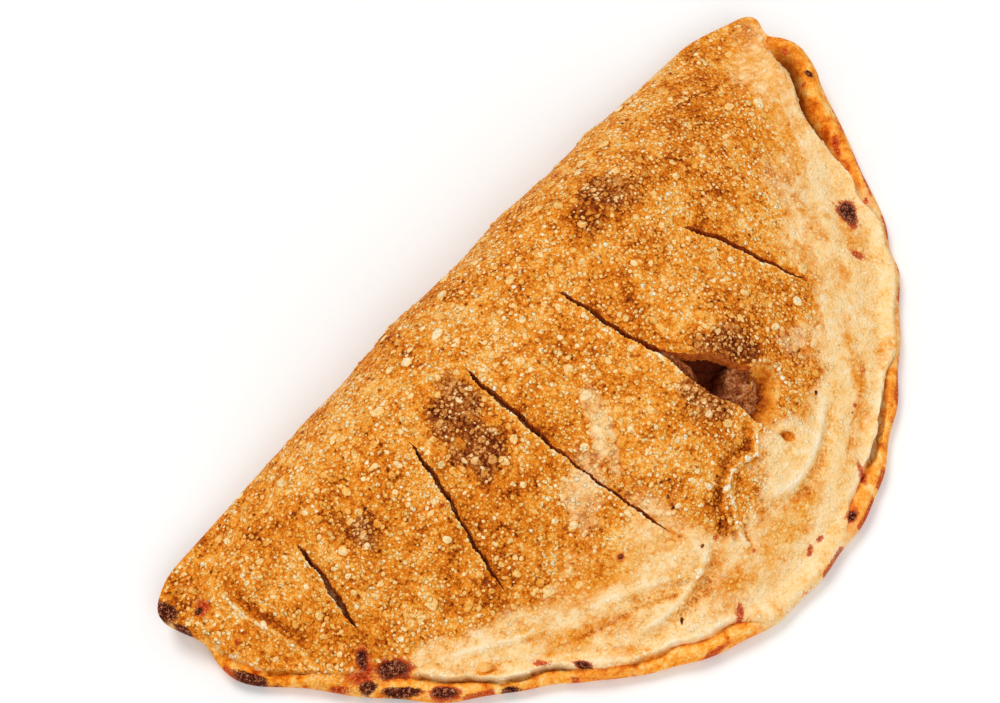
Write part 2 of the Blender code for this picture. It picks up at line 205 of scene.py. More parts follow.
AMBER_STREAKS = (
    (61, -105, 14, 3.2, 52, 0.75), (44, -118, 9, 2.5, 30, 0.6), (97, -72, 8, 4.0, 60, 0.7), (8, -121, 14, 5.0, 0, 0.7),
    (-16, -121, 10, 4.0, 0, 0.5), (-26, -108, 9, 2.5, -30, 0.6), (-50, -102, 12, 2.5, -38, 0.6),
    (-60, -96, 8, 2.5, -40, 0.5), (82, -80, 9, 3.0, 70, 0.45), (40, -98, 8, 3.5, 40, 0.6), (-84, -84, 9, 1.6, -48, 0.8),
    (70, -92, 7, 3.0, 30, 0.4), (-5, -104, 5, 2.5, -50, 0.6), (-38, -96, 8, 2.0, -30, 0.6), (-70, -84, 7, 2.0, -40, 0.6),
    (22, -120, 8, 2.0, 10, 0.5), (52, -92, 7, 2.5, 50, 0.5), (88, -62, 9, 2.5, 70, 0.5), (104, -40, 9, 3.0, 70, 0.4),
)

# Mesh spacing, in millimetres.
CRISP_CELL = 0.26
SPACING = 0.8
OUTLINE_POINTS = 1150
EDGE_ROWS = (0.12, 0.4, 0.8, 1.35, 2.0, 2.7)
UNDER_ROWS = (0.3, 1.0, 2.2, 4.0, 6.4, 9.2)
UNDER_SPACING = 2.6
CAVITY_POINTS = 260
CAVITY_SPACING = 4.0
WALL_ROWS = 4


def clamp(value):
    return np.clip(value, 0.0, 1.0)


def ramp(value, start, end):
    t = clamp((value - start) / (end - start))
    return t * t * (3 - 2 * t)


def bump(distance, width):
    return np.exp(-((distance / width) ** 2))


def quarter_round(distance, run):
    return np.sqrt(1 - (1 - clamp(distance / run)) ** 2)


def noise(x, y, size, seed):
    """Smooth random hills between -1 and 1, about size across."""
    grid = np.random.default_rng(seed).uniform(-1, 1, (97, 97))
    turn = seed * 0.7
    u = (x * math.cos(turn) + y * math.sin(turn)) / size + 970
    v = (y * math.cos(turn) - x * math.sin(turn)) / size + 970
    i = np.floor(u).astype(int)
    j = np.floor(v).astype(int)
    s = ramp(u - i, 0, 1)
    t = ramp(v - j, 0, 1)
    low = grid[i % 97, j % 97] * (1 - s) + grid[(i + 1) % 97, j % 97] * s
    high = grid[i % 97, (j + 1) % 97] * (1 - s) + grid[(i + 1) % 97, (j + 1) % 97] * s
    return low * (1 - t) + high * t


def angle_at(x, y):
    return np.degrees(np.arctan2(y - PLAN_CENTRE[1], x - PLAN_CENTRE[0]))


def angle_apart(a, b):
    return (a - b + 180) % 360 - 180


def fold_gap(x, y):
    """Distance in from the folded edge."""
    turned = FOLD_TURN * ramp(x, 108, 140)
    return FOLD_Y - FOLD_BOW * ((x - FOLD_CREST_X) / 100) ** 2 - turned - y


def rim_gap(x, y):
    """Distance in from the sealed rim, which is a superellipse with listed waves."""
    power = RIM_FULLNESS + RIM_SKEW * np.tanh(x / 30)
    u = np.abs(x) / HALF_LENGTH + 1e-9
    v = np.abs(y - RIM_CENTRE_Y) / RIM_REACH + 1e-9
    level = (u ** power + v ** power) ** (1 / power)
    slope_x = u ** (power - 1) / HALF_LENGTH * level ** (1 - power)
    slope_y = v ** (power - 1) / RIM_REACH * level ** (1 - power)
    angle = angle_at(x, y)
    waves = sum(out * bump(angle_apart(angle, at), width) for at, width, out in RIM_WAVES)
    ripple = 0.5 * np.sin(np.radians(13 * angle)) + 0.35 * np.sin(np.radians(29 * angle + 40))
    near_rim = 1 - ramp(1 - level, 0.05, 0.5)
    return (1 - level) / np.hypot(slope_x, slope_y) + near_rim * (waves + ripple)


def edge_gap(x, y, fold_inset=0.0, rim_inset=0.0):
    """Distance in from the nearer edge, blended where the fold and the rim meet."""
    fold = fold_gap(x, y) - fold_inset
    rim = rim_gap(x, y) - rim_inset
    rounding = TIP_ROUNDING - TIP_POINT * ramp(x, 90, 130)
    share = clamp(0.5 + 0.5 * (rim - fold) / rounding)
    return rim * (1 - share) + fold * share - rounding * share * (1 - share)


def station(angle, table, column):
    """A value read round the rim between the table's stations, a little softened."""
    at = [row[0] for row in table]
    value = [row[column] for row in table]
    return sum(np.interp(angle + shift, at, value, period=360) for shift in (-0.8, 0, 0.8)) / 3


def ear(angle):
    return np.interp(angle, [at for at, _ in EAR], [strength for _, strength in EAR])


def edge_height(y):
    return RIM_EDGE_Z + (FOLD_EDGE_Z - RIM_EDGE_Z) * ramp(y, -42, -2)


def lip_gap(x, y):
    """Distance in from the step between the lip and the upper layer."""
    return rim_gap(x, y) - station(angle_at(x, y), LIP, 1) - 0.35 * noise(x, y, 5, 3) - 0.15 * noise(x, y, 1.8, 4)


def top_form(x, y):
    """Height of the top before the small relief."""
    angle = angle_at(x, y)
    fold, rim, edge = fold_gap(x, y), rim_gap(x, y), edge_gap(x, y)
    base = edge_height(y)
    step = station(angle, LIP, 2)
    curl = ear(angle)
    on_rim = np.maximum(1 - ramp(y, -20, 0), curl)
    along = np.abs(x) / HALF_LENGTH
    ridge = TIP_HEIGHT + (CROWN_HEIGHT - TIP_HEIGHT) * (1 - along ** 2.3)
    body = ridge + sum(rise * bump(np.hypot(x - bx, y - by), radius) for bx, by, radius, rise in BULGES)
    lip_top = base + (LIP_HEIGHT - RIM_EDGE_Z + EAR_RISE * curl) * quarter_round(edge, 3.2 + 3 * curl) * on_rim
    inside = lip_gap(x, y)
    slope = 1 - (1 - clamp((rim - SLOPE_START - 4 * curl) / SLOPE_RUN)) ** SLOPE_POWER
    puffed = (body - lip_top) * slope * quarter_round(fold, FOLD_ROUND)
    raised = STEP_RISE * step * ramp(inside, -0.2, 0.4) * np.exp(-np.maximum(inside, 0) / STEP_FADE) * on_rim
    groove_width = np.where(inside < 0, 0.9 + 2.0 * curl, 0.4 + 0.5 * curl)
    groove = (GROOVE_DEPTH * step + EAR_GROOVE * curl) * bump(inside, groove_width) * on_rim
    return np.maximum(lip_top + puffed + raised - groove, base + 0.3 * clamp(edge / 2))


def smooth_line(points, step=0.5):
    """Points every step along a smooth curve through the given ones."""
    p = np.array(points, float)
    ends = np.vstack([2 * p[0] - p[1], p, 2 * p[-1] - p[-2]])
    parts = []
    for a, b, c, d in zip(ends, ends[1:], ends[2:], ends[3:]):
        count = max(int(np.hypot(*(c - b)) / step), 1)
        t = np.arange(count)[:, None] / count
        parts.append(0.5 * (2 * b + (c - a) * t + (2 * a - 5 * b + 4 * c - d) * t ** 2 + (3 * b - a - 3 * c + d) * t ** 3))
    return np.vstack(parts + [p[-1:]])


def by_line(x, y, line, reach=12.0):
    """Signed distance to a line of points (positive on the left of its run), and the share of its length there.
    Points further than reach are given a distance of 99."""
    line = np.asarray(line, float)
    distance = np.full(x.shape, 99.0)
    share = np.zeros(x.shape)
    low, high = line.min(0) - reach, line.max(0) + reach
    near = np.nonzero((x > low[0]) & (x < high[0]) & (y > low[1]) & (y < high[1]))[0]
    px, py = x[near], y[near]
    best = np.full(px.shape, reach)
    for n, (a, b) in enumerate(zip(line, line[1:])):
        run = b - a
        t = clamp(((px - a[0]) * run[0] + (py - a[1]) * run[1]) / (run @ run))
        dx, dy = px - a[0] - t * run[0], py - a[1] - t * run[1]
        gap = np.hypot(dx, dy)
        closer = gap < best
        best[closer] = gap[closer]
        side = np.where(run[0] * dy - run[1] * dx >= 0, 1.0, -1.0)
        distance[near[closer]] = (gap * side)[closer]
        share[near[closer]] = (n + t[closer]) / (len(line) - 1)
    return distance, share


def inside_loop(x, y, loop):
    """True where a plan point lies inside a closed loop of points."""
    within = np.zeros(x.shape, bool)
    low, high = loop.min(0), loop.max(0)
    near = np.nonzero((x > low[0]) & (x < high[0]) & (y > low[1]) & (y < high[1]))[0]
    px, py = x[near], y[near]
    crossed = np.zeros(px.shape, bool)
    for a, b in zip(loop, np.roll(loop, -1, axis=0)):
        if a[1] != b[1]:
            spans = (a[1] > py) != (b[1] > py)
            crossed ^= spans & (px < (b[0] - a[0]) * (py - a[1]) / (b[1] - a[1]) + a[0])
    within[near] = crossed
    return within


def slit_edges(points, widths, seed):
    """The -X and +X edges of a slit, from its middle line and widths, slightly ragged."""
    line = smooth_line(points)
    run = np.gradient(line, axis=0)
    run /= np.hypot(run[:, 0], run[:, 1])[:, None]
    across = np.column_stack([-run[:, 1], run[:, 0]])
    share = np.linspace(0, 1, len(line))
    width = np.interp(share, [s for s, _ in widths], [w for _, w in widths])
    random = np.random.default_rng(seed)
    rough = random.uniform(-1, 1, (2, len(line))) * np.minimum(JAG, width * 0.25)
    sway = 0.25 * np.sin(share * len(line) * 0.35) * clamp(width)
    minus = line - across * (width / 2 + rough[0] - sway)[:, None]
    plus = line + across * (width / 2 + rough[1] + sway)[:, None]
    return minus, plus


def ragged(points, seed, jag=JAG):
    line = smooth_line(points)
    line[1:-1] += np.random.default_rng(seed).uniform(-jag, jag, (len(line) - 2, 2))
    return line


def openings():
    """Each opening's closed loop of plan points, with its middle line and how far its edge stands up."""
    made = []
    for number, (points, widths, rise) in enumerate(SLITS):
        minus, plus = slit_edges(points, widths, 10 + number)
        made.append((np.vstack([minus, plus[-2:0:-1]]), smooth_line(points, 2.0), rise))
    minus, plus = slit_edges(TORN_SLIT, TORN_SLIT_WIDTHS, 20)
    left = ragged((minus[-1],) + TEAR_LEFT, 21)
    right = ragged((plus[-1],) + TEAR_RIGHT, 22)
    floor_edge = ragged((TEAR_RIGHT[-1],) + TEAR_FLOOR_EDGE + (TEAR_LEFT[-1],), 23, 0.6)
    loop = np.vstack([minus[:-1], left, floor_edge[-2:0:-1], right[::-1][:-1], plus[::-1][:-1]])
    made.append((loop, smooth_line(TORN_SLIT + TEAR_LEFT[1:], 2.0), 0.7))
    return made


OPENINGS = openings()
SCOOP_LOOP = np.vstack([smooth_line(SCOOP_RIM), smooth_line(CLIFF)[::-1],
                        smooth_line((TEAR_LEFT[-1],) + TEAR_FLOOR_EDGE[::-1] + (TEAR_RIGHT[-1],))])
RIGHT_TEAR_EDGE = smooth_line(TEAR_RIGHT, 1.0)
LEFT_TEAR_EDGE = smooth_line(TEAR_LEFT + CLIFF[1:], 1.0)


def opening_gap(x, y, reach=12.0):
    """Distance outwards from the nearest opening's edge, up to reach."""
    gap = np.full(x.shape, reach)
    for loop, _, _ in OPENINGS:
        closed = np.vstack([loop, loop[:1]])[::2]
        distance, _ = by_line(x, y, closed, reach)
        gap = np.minimum(gap, np.abs(distance))
    return gap


def scoop_rim(x, y, reach=14.0):
    """Distance from the scoop's rim, and how crisp the rim is there."""
    side, share = by_line(x, y, smooth_line(SCOOP_RIM, 1.0), reach)
    return np.abs(side), 1 - ramp(share, SCOOP_CRISP, SCOOP_CRISP + 0.2)


def scoop_depth(x, y):
    """How far the torn dough has sagged beside the hole."""
    gap, crisp = scoop_rim(x, y)
    uneven = 0.35 * noise(x, y, 3.2, 37) + 0.2 * noise(x, y, 1.4, 38)
    depth = 0.9 * crisp * ramp(gap, -0.1, 0.5) + (SCOOP_DEPTH - 0.9 * crisp) * ramp(gap, -1.0, 9.0)
    return np.where(inside_loop(x, y, SCOOP_LOOP), np.maximum(depth + uneven * ramp(gap, 0.5, 4), 0.0), 0.0)


def relief(x, y):
    """Small relief on the top, along its normal."""
    angle = angle_at(x, y)
    rim = rim_gap(x, y)
    out = 0.9 * noise(x, y, 20, 30) + 0.5 * noise(x, y, 12, 31) + 0.3 * noise(x, y, 7, 32) + 0.12 * noise(x, y, 3.2, 33)
    out = out + 0.07 * noise(x, y, 1.6, 34) + 0.04 * noise(x, y, 0.9, 35)
    pale = pale_field(x, y)
    stretched = noise(np.radians(angle) * 110 + 0.2 * rim, rim * 4.0, 16, 36)
    out = out + 0.4 * pale * stretched
    for loop, line, rise in OPENINGS:
        side, share = by_line(x, y, line, 10.0)
        gap = np.abs(by_line(x, y, np.vstack([loop, loop[:1]])[::2], 10.0)[0])
        ends = np.sqrt(clamp(4 * share * (1 - share)))
        out = out + np.where(side < 0, rise * np.exp(-gap / 1.5), -0.55 * np.exp(-gap / 2.2)) * ends * (gap < 10)
    for points, ridge, width, dip, dip_width in CREASES:
        side, share = by_line(x, y, smooth_line(points, 2.0), 9.0)
        ends = np.sqrt(clamp(6 * share * (1 - share))) * (np.abs(side) < 9)
        beside = side * np.sign(dip)
        hollow = -abs(dip) * bump(beside - width - 0.6 * dip_width, dip_width * 0.6) * (beside > 0)
        out = out + (ridge * bump(side, width) + hollow) * ends
    right = np.abs(by_line(x, y, RIGHT_TEAR_EDGE, 8.0)[0])
    left, _ = by_line(x, y, LEFT_TEAR_EDGE, 8.0)
    scoop = scoop_depth(x, y)
    outside = scoop == 0
    out = out + (1.3 + 0.6 * noise(x, y, 2.4, 39)) * bump(right, 4.5) * (right < 8) * outside
    out = out + 0.7 * np.exp(-np.abs(left) / 1.6) * (np.abs(left) < 8) * (left < 0)
    gap, crisp = scoop_rim(x, y, 6.0)
    out = out + 0.6 * crisp * bump(gap, 0.8) * outside * (gap < 6)
    hole = ellipse(x, y, PINHOLE)
    return out - scoop - PINHOLE_DEPTH * (1 - ramp(hole, 0.35, 1.05)) + 0.3 * bump(hole - 1.3, 0.25)


def normal_at(x, y, reach=0.25):
    """The top's outward direction, from its form without the relief."""
    slope_x = (top_form(x + reach, y) - top_form(x - reach, y)) / (2 * reach)
    slope_y = (top_form(x, y + reach) - top_form(x, y - reach)) / (2 * reach)
    normal = np.column_stack([-slope_x, -slope_y, np.ones_like(x)])
    return normal / np.linalg.norm(normal, axis=1)[:, None]


def top_points(x, y):
    """The finished top surface over the plan points."""
    normal = normal_at(x, y)
    lift = relief(x, y) * ramp(edge_gap(x, y), 0.0, 1.2)
    return np.column_stack([x, y, top_form(x, y)]) + normal * lift[:, None]


def under_points(x, y):
    """The underside, which rests on the floor and curves up to the edge."""
    reach = RIM_UNDERCUT + (FOLD_UNDERCUT - RIM_UNDERCUT) * ramp(y, -42, -2)
    z = edge_height(y) * (1 - quarter_round(edge_gap(x, y), reach))
    pits = 0.35 * ramp(noise(x, y, 6, 41) + 0.5 * noise(x, y, 2.5, 42), 0.1, 0.9)
    return np.column_stack([x, y, z + pits * ramp(edge_gap(x, y), 2, 12)])


def cavity_roof(x, y):
    thickness = np.maximum(top_form(x, y) - CRUST_THICKNESS - BASE_THICKNESS, THINNEST_FILLING)
    edge = edge_gap(x, y, FOLD_WALL, RIM_WALL)
    roof = BASE_THICKNESS + thickness * quarter_round(edge, CAVITY_ROUND)
    return np.minimum(roof, np.maximum(top_form(x, y) - scoop_depth(x, y) - 1.2, BASE_THICKNESS))


# Where each colour lies on the crust, from 0 to 1.

def ellipse(x, y, patch):
    """0 in the middle of a turned ellipse and 1 on its edge."""
    px, py, length, width, turn = patch[:5]
    c, s = math.cos(math.radians(turn)), math.sin(math.radians(turn))
    return np.hypot(((x - px) * c + (y - py) * s) / length, ((y - py) * c - (x - px) * s) / width)


def pale_field(x, y):
    """Where the dough stayed pale: a band along the rim and a few patches, with amber streaks in it."""
    angle = angle_at(x, y)
    wide = station(angle, PALE_BAND, 1)
    gap = edge_gap(x, y) + 7 * noise(x, y, 18, 51) + 3 * noise(x, y, 6, 52)
    field = station(angle, PALE_BAND, 2) * (1 - ramp(gap, 0.62 * wide, 1.3 * wide + 1)) * ramp(wide, 2, 12)
    wander = 0.3 * noise(x, y, 8, 56) + 0.2 * noise(x, y, 3, 57)
    for patch in PALE_PATCHES:
        field = np.maximum(field, patch[5] * (1 - ramp(ellipse(x, y, patch) + wander, 0.4, 1.6)))
    for patch in AMBER_STREAKS:
        field = field * (1 - patch[5] * (1 - ramp(ellipse(x, y, patch) + wander, 0.3, 1.5)))
    streaky = noise(np.radians(angle) * 100 + 0.3 * gap, gap * 2.6, 22, 58)
    return field * (1 - 0.5 * ramp(streaky, 0.1, 0.7))


def calm_field(x, y):
    """Where the skin is smooth and unblistered, up to 1: the pale band, and what streaks it."""
    angle = angle_at(x, y)
    wide = station(angle, PALE_BAND, 1)
    gap = edge_gap(x, y) + 5 * noise(x, y, 18, 51)
    return (1 - ramp(gap, 0.55 * wide, 1.3 * wide + 1)) * ramp(wide, 2, 16)


def toast_field(x, y):
    wander = noise(x, y, 5, 53) * 0.3 + noise(x, y, 2, 54) * 0.2
    field = np.zeros(np.shape(x))
    for px, py, radius, strength in TOASTED:
        field = np.maximum(field, strength * (1 - ramp(np.hypot(x - px, y - py) / radius + wander, 0.35, 1.5)))
    return field


def spot_field(x, y, spots):
    wander = noise(x, y, 3.0, 55) * 0.3
    field = np.zeros(np.shape(x))
    for spot in spots:
        field = np.maximum(field, clamp(1.25 - 0.75 * (ellipse(x, y, spot) + wander)))
    return field


def lip_field(x, y):
    share = clamp(station(angle_at(x, y), LIP, 2) * 1.6)
    return (1 - ramp(lip_gap(x, y), -0.35, 0.35)) * share * (1 - ramp(y, -12, 0))


def groove_field(x, y):
    """The dark line of painted shadow along the foot of the upper layer's edge."""
    angle = angle_at(x, y)
    wide = 0.5 + 0.7 * ear(angle) + 1.6 * bump(angle - 12, 4)
    on_rim = np.maximum(1 - ramp(y, -20, 0), ear(angle))
    patchy = np.maximum(ramp(noise(x, y, 14, 59) + 0.4 * noise(x, y, 4, 60), -0.6, 0.4), ear(angle))
    return bump(lip_gap(x, y) + 0.6 * wide, wide) * station(angle, LIP, 2) * on_rim * patchy


def painted_light_field(x, y):
    """Painted highlights and painted shade: where the skin is painted lighter, up to 1, or darker, down to -1, along
    edges, ridges and valleys.
    """
    angle = angle_at(x, y)
    inside, curl = lip_gap(x, y), ear(angle)
    on_rim = np.maximum(1 - ramp(y, -20, 0), curl) * station(angle, LIP, 2)
    shade = (0.7 * bump(inside - 0.8, 0.8) - 0.5 * bump(inside + 0.8 + 2.0 * curl, 0.9 + 2.4 * curl)) * on_rim
    for loop, line, rise in OPENINGS:
        side, share = by_line(x, y, line, 6.0)
        gap = np.abs(by_line(x, y, np.vstack([loop, loop[:1]])[::2], 6.0)[0])
        ends = clamp(6 * share * (1 - share)) * (gap < 6)
        shade = shade + np.where(side < 0, 0.75 * np.exp(-gap / 0.7), -0.3 * np.exp(-gap / 1.6)) * ends
    for points, ridge, width, dip, dip_width in CREASES:
        side, share = by_line(x, y, smooth_line(points, 1.0), 9.0)
        ends = np.sqrt(clamp(6 * share * (1 - share))) * (np.abs(side) < 9)
        beside = side * np.sign(dip)
        valley = clamp(abs(dip)) * bump(beside - width - 0.6 * dip_width, dip_width * 0.8) * (beside > 0)
        shade = shade + (np.clip(2 * ridge, -1, 1) * bump(side, width) - 0.8 * valley) * ends
    left, _ = by_line(x, y, LEFT_TEAR_EDGE, 5.0)
    shade = shade + 0.6 * np.exp(-np.abs(left) / 0.9) * (np.abs(left) < 5) * (left < 0)
    gap, crisp = scoop_rim(x, y, 5.0)
    shade = shade + 0.8 * crisp * bump(gap, 0.8) * (gap < 5) * (scoop_depth(x, y) < 0.6)
    return np.clip(shade, -1, 1)


def rim_red_field(x, y):
    """A thin reddened edge round the rim."""
    edge = edge_gap(x, y)
    patchy = ramp(noise(x, y, 9, 57) + 0.5 * noise(x, y, 3, 58), -0.1, 0.6)
    return (1 - ramp(edge, 0.5, 1.8)) * patchy * (1 - ramp(y, -12, 4))


def scoop_and_depth_shade_field(x, y):
    """Smooth sagged dough in the scoop and the pinhole, darkened with painted shade the deeper it lies."""
    hole = 0.62 * (1 - ramp(ellipse(x, y, PINHOLE), 0.6, 1.15))
    return np.maximum(clamp(scoop_depth(x, y) / SCOOP_DEPTH), hole)


def fields(x, y):
    return {
        "pale": pale_field(x, y),
        "calm": calm_field(x, y),
        "toast": toast_field(x, y),
        "char": spot_field(x, y, CHARRED),
        "red": np.maximum(spot_field(x, y, REDDENED), 0.85 * rim_red_field(x, y)),
        "lip": lip_field(x, y),
        # Painted shadow at the foot of the step.
        "groove": groove_field(x, y),
        "scoop": scoop_and_depth_shade_field(x, y),
        "shade": painted_light_field(x, y),
        "under": np.zeros(np.shape(x)),
        "cap": np.zeros(np.shape(x)),
        "tint": np.zeros(np.shape(x)),
    }


# Meshes.

def make_piece(name, points, faces, values, sharp=50.0):
    """One piece from points in millimetres, triangles, and named values for each point."""
    points = np.asarray(points, float)
    middle = (CRUST_LOW + CRUST_HIGH) / 2
    place = np.column_stack([
        (points[:, 0] - PLAN_MIDDLE[0]) * MM + middle.x,
        (points[:, 1] - PLAN_MIDDLE[1]) * MM + middle.y,
        points[:, 2] * MM + CRUST_LOW.z,
    ])
    faces = np.asarray(faces, np.int32)
    mesh = bpy.data.meshes.new(name)
    mesh.vertices.add(len(place))
    mesh.vertices.foreach_set("co", place.astype(np.float32).ravel())
    mesh.loops.add(faces.size)
    mesh.loops.foreach_set("vertex_index", faces.ravel())
    mesh.polygons.add(len(faces))
    mesh.polygons.foreach_set("loop_start", np.arange(0, faces.size, 3, dtype=np.int32))
    mesh.update(calc_edges=True)
    mesh.validate()
    for key, value in values.items():
        layer = mesh.attributes.new(key, "FLOAT", "POINT")
        layer.data.foreach_set("value", np.asarray(value, np.float32))
    mesh.shade_smooth()
    mesh.set_sharp_from_angle(angle=math.radians(sharp))
    piece = bpy.data.objects.new(name, mesh)
    bpy.context.collection.objects.link(piece)
    return piece


def outline_loop(count, fold_inset=0.0, rim_inset=0.0):
    """Outline points an even distance apart, anticlockwise."""
    angle = np.linspace(0, 2 * math.pi, 6 * count, endpoint=False)
    near = np.full(angle.shape, 5.0)
    far = np.full(angle.shape, 200.0)
    for _ in range(40):
        middle = (near + far) / 2
        x = PLAN_CENTRE[0] + middle * np.cos(angle)
        y = PLAN_CENTRE[1] + middle * np.sin(angle)
        within = edge_gap(x, y, fold_inset, rim_inset) > 0
        near = np.where(within, middle, near)
        far = np.where(within, far, middle)
    fine = np.column_stack([x, y])
    fine = np.vstack([fine, fine[:1]])
    along = np.concatenate([[0], np.cumsum(np.hypot(*np.diff(fine, axis=0).T))])
    target = np.arange(count) * along[-1] / count
    return np.column_stack([np.interp(target, along, fine[:, 0]), np.interp(target, along, fine[:, 1])])


def inset(loop, gap, fold_inset=0.0, rim_inset=0.0):
    """The loop moved in, until it is this far from the edge."""
    x, y = loop.T
    step = 0.02
    for _ in range(4):
        here = edge_gap(x, y, fold_inset, rim_inset)
        slope_x = (edge_gap(x + step, y, fold_inset, rim_inset) - here) / step
        slope_y = (edge_gap(x, y + step, fold_inset, rim_inset) - here) / step
        move = (gap - here) / (slope_x ** 2 + slope_y ** 2)
        x, y = x + slope_x * move, y + slope_y * move
    return np.column_stack([x, y])


def grid_points(spacing, margin, bunched):
    """Staggered rows of plan points over the inside, closer together where the folded side is steep."""
    depth = []
    here = margin
    while here < 160:
        depth.append(here)
        steep = 1.0
        if bunched and here < FOLD_ROUND:
            t = 1 - here / FOLD_ROUND
            rise = (CROWN_HEIGHT - FOLD_EDGE_Z) / FOLD_ROUND * t / math.sqrt(max(1 - t * t, 0.02))
            steep = math.hypot(1, rise)
        here += spacing * 0.88 / steep
    rows = []
    for number, gap in enumerate(depth):
        x = np.arange(-HALF_LENGTH, HALF_LENGTH, spacing) + (number % 2) * spacing / 2
        rows.append(np.column_stack([x, FOLD_Y - FOLD_BOW * ((x - FOLD_CREST_X) / 100) ** 2 - gap]))
    return np.vstack(rows)


def triangulate(points, loops):
    """Triangles over plan points. The first loop is the outline, and the others are holes in it."""
    edges = [(int(a), int(b)) for loop in loops for a, b in zip(loop, np.roll(loop, -1))]
    result = geometry.delaunay_2d_cdt([Vector(point) for point in points], edges, [], 1, 1e-5)
    where = [origin[0] for origin in result[3]]
    faces = np.array([[where[i] for i in face] for face in result[2]])
    centre = points[faces].mean(axis=1)
    for loop in loops[1:]:
        faces = faces[~inside_loop(*centre.T, points[loop])]
        centre = points[faces].mean(axis=1)
    a, b, c = (points[faces[:, i]] for i in range(3))
    turn = (b[:, 0] - a[:, 0]) * (c[:, 1] - a[:, 1]) - (b[:, 1] - a[:, 1]) * (c[:, 0] - a[:, 0])
    return np.where(turn[:, None] > 0, faces, faces[:, ::-1])


def cells(points, size, around=False):
    """A whole number for the square cell each point is in, or for that cell and its eight neighbours."""
    column, row = (np.floor(points / size).astype(np.int64) + 5000).T
    if not around:
        return column * 10000 + row
    steps = [(i, j) for i in (-1, 0, 1) for j in (-1, 0, 1)]
    return np.concatenate([(column + i) * 10000 + row + j for i, j in steps])


def plan_sheet(outline, row_gaps, spacing, bunched, holes, insets=(0.0, 0.0), hole_margin=0.3, crisp=None):
    """Plan points and triangles inside an outline, with the holes left open.
    The outline's points come first and then each hole's. The crisp points take the place of the grid's."""
    rows = [inset(outline, gap, *insets) for gap in row_gaps]
    last = row_gaps[-1] if row_gaps else 0.0
    loose = grid_points(spacing, last + spacing * 0.6, bunched)
    loose = loose[edge_gap(*loose.T, *insets) > last + spacing * 0.55]
    if crisp is not None:
        crisp = crisp[edge_gap(*crisp.T, *insets) > last + 0.1]
        crisp = crisp[np.sort(np.unique(cells(crisp, CRISP_CELL), return_index=True)[1])]
        loose = loose[~np.isin(cells(loose, 1.5 * CRISP_CELL), cells(crisp, 1.5 * CRISP_CELL, True))]
        loose = np.vstack([crisp, loose])
    for hole in holes:
        gap = np.abs(by_line(*loose.T, np.vstack([hole, hole[:1]]), 2.0)[0])
        loose = loose[(gap > hole_margin) & ~inside_loop(*loose.T, hole)]
    points = np.vstack([outline] + list(holes) + rows + [loose])
    loops = []
    start = 0
    for loop in [outline] + list(holes):
        loops.append(np.arange(start, start + len(loop)))
        start += len(loop)
    return points, triangulate(points, loops), loops


def join_loops(lower, upper):
    """Triangles between two loops of as many points."""
    a, b = np.asarray(lower), np.asarray(upper)
    c, d = np.roll(a, -1), np.roll(b, -1)
    return np.vstack([np.column_stack([a, c, d]), np.column_stack([a, d, b])])


def lip_rows():
    """Rows of plan points on either side of the step between the lip and the upper layer."""
    loop = outline_loop(900)
    angle = angle_at(*loop.T)
    stepped = (station(angle, LIP, 2) > 0.15) & (loop[:, 1] < 0)
    width = rim_gap(*loop.T) - lip_gap(*loop.T)
    rows = []
    for offset in (-0.7, -0.3, 0.05, 0.4, 0.9):
        rows.append(inset(loop, width + offset)[stepped & (width > 2.0)])
    return rows


def beside(line, offsets, start=1, end=-1):
    """Copies of a line of points, moved sideways."""
    run = np.gradient(line, axis=0)
    across = np.column_stack([-run[:, 1], run[:, 0]]) / np.hypot(run[:, 0], run[:, 1])[:, None]
    return [(line + across * offset)[start:end] for offset in offsets]


def crease_rows():
    rows = []
    for points, ridge, width, dip, dip_width in CREASES:
        rows += beside(smooth_line(points, 0.6), (-2 * width, -width, -0.4 * width, 0.4 * width, width, 2 * width))
    return rows


def slit_rows():
    rows = []
    for loop, _, _ in OPENINGS:
        closed = np.vstack([loop, loop[:1]])
        rows += beside(closed, (-0.36, -0.8))
    return rows


def spot_points():
    """A fine patch of points over each small burnt or reddened spot."""
    patches = []
    for px, py, length, width, turn in CHARRED + REDDENED:
        if length < 3:
            step = 0.32
            across = np.arange(-length * 1.5, length * 1.5, step)
            u, v = np.meshgrid(across, across)
            near = np.hypot(u / length, v / width) < 1.5
            c, s = math.cos(math.radians(turn)), math.sin(math.radians(turn))
            patches.append(np.column_stack([px + u[near] * c - v[near] * s, py + u[near] * s + v[near] * c]))
    return patches


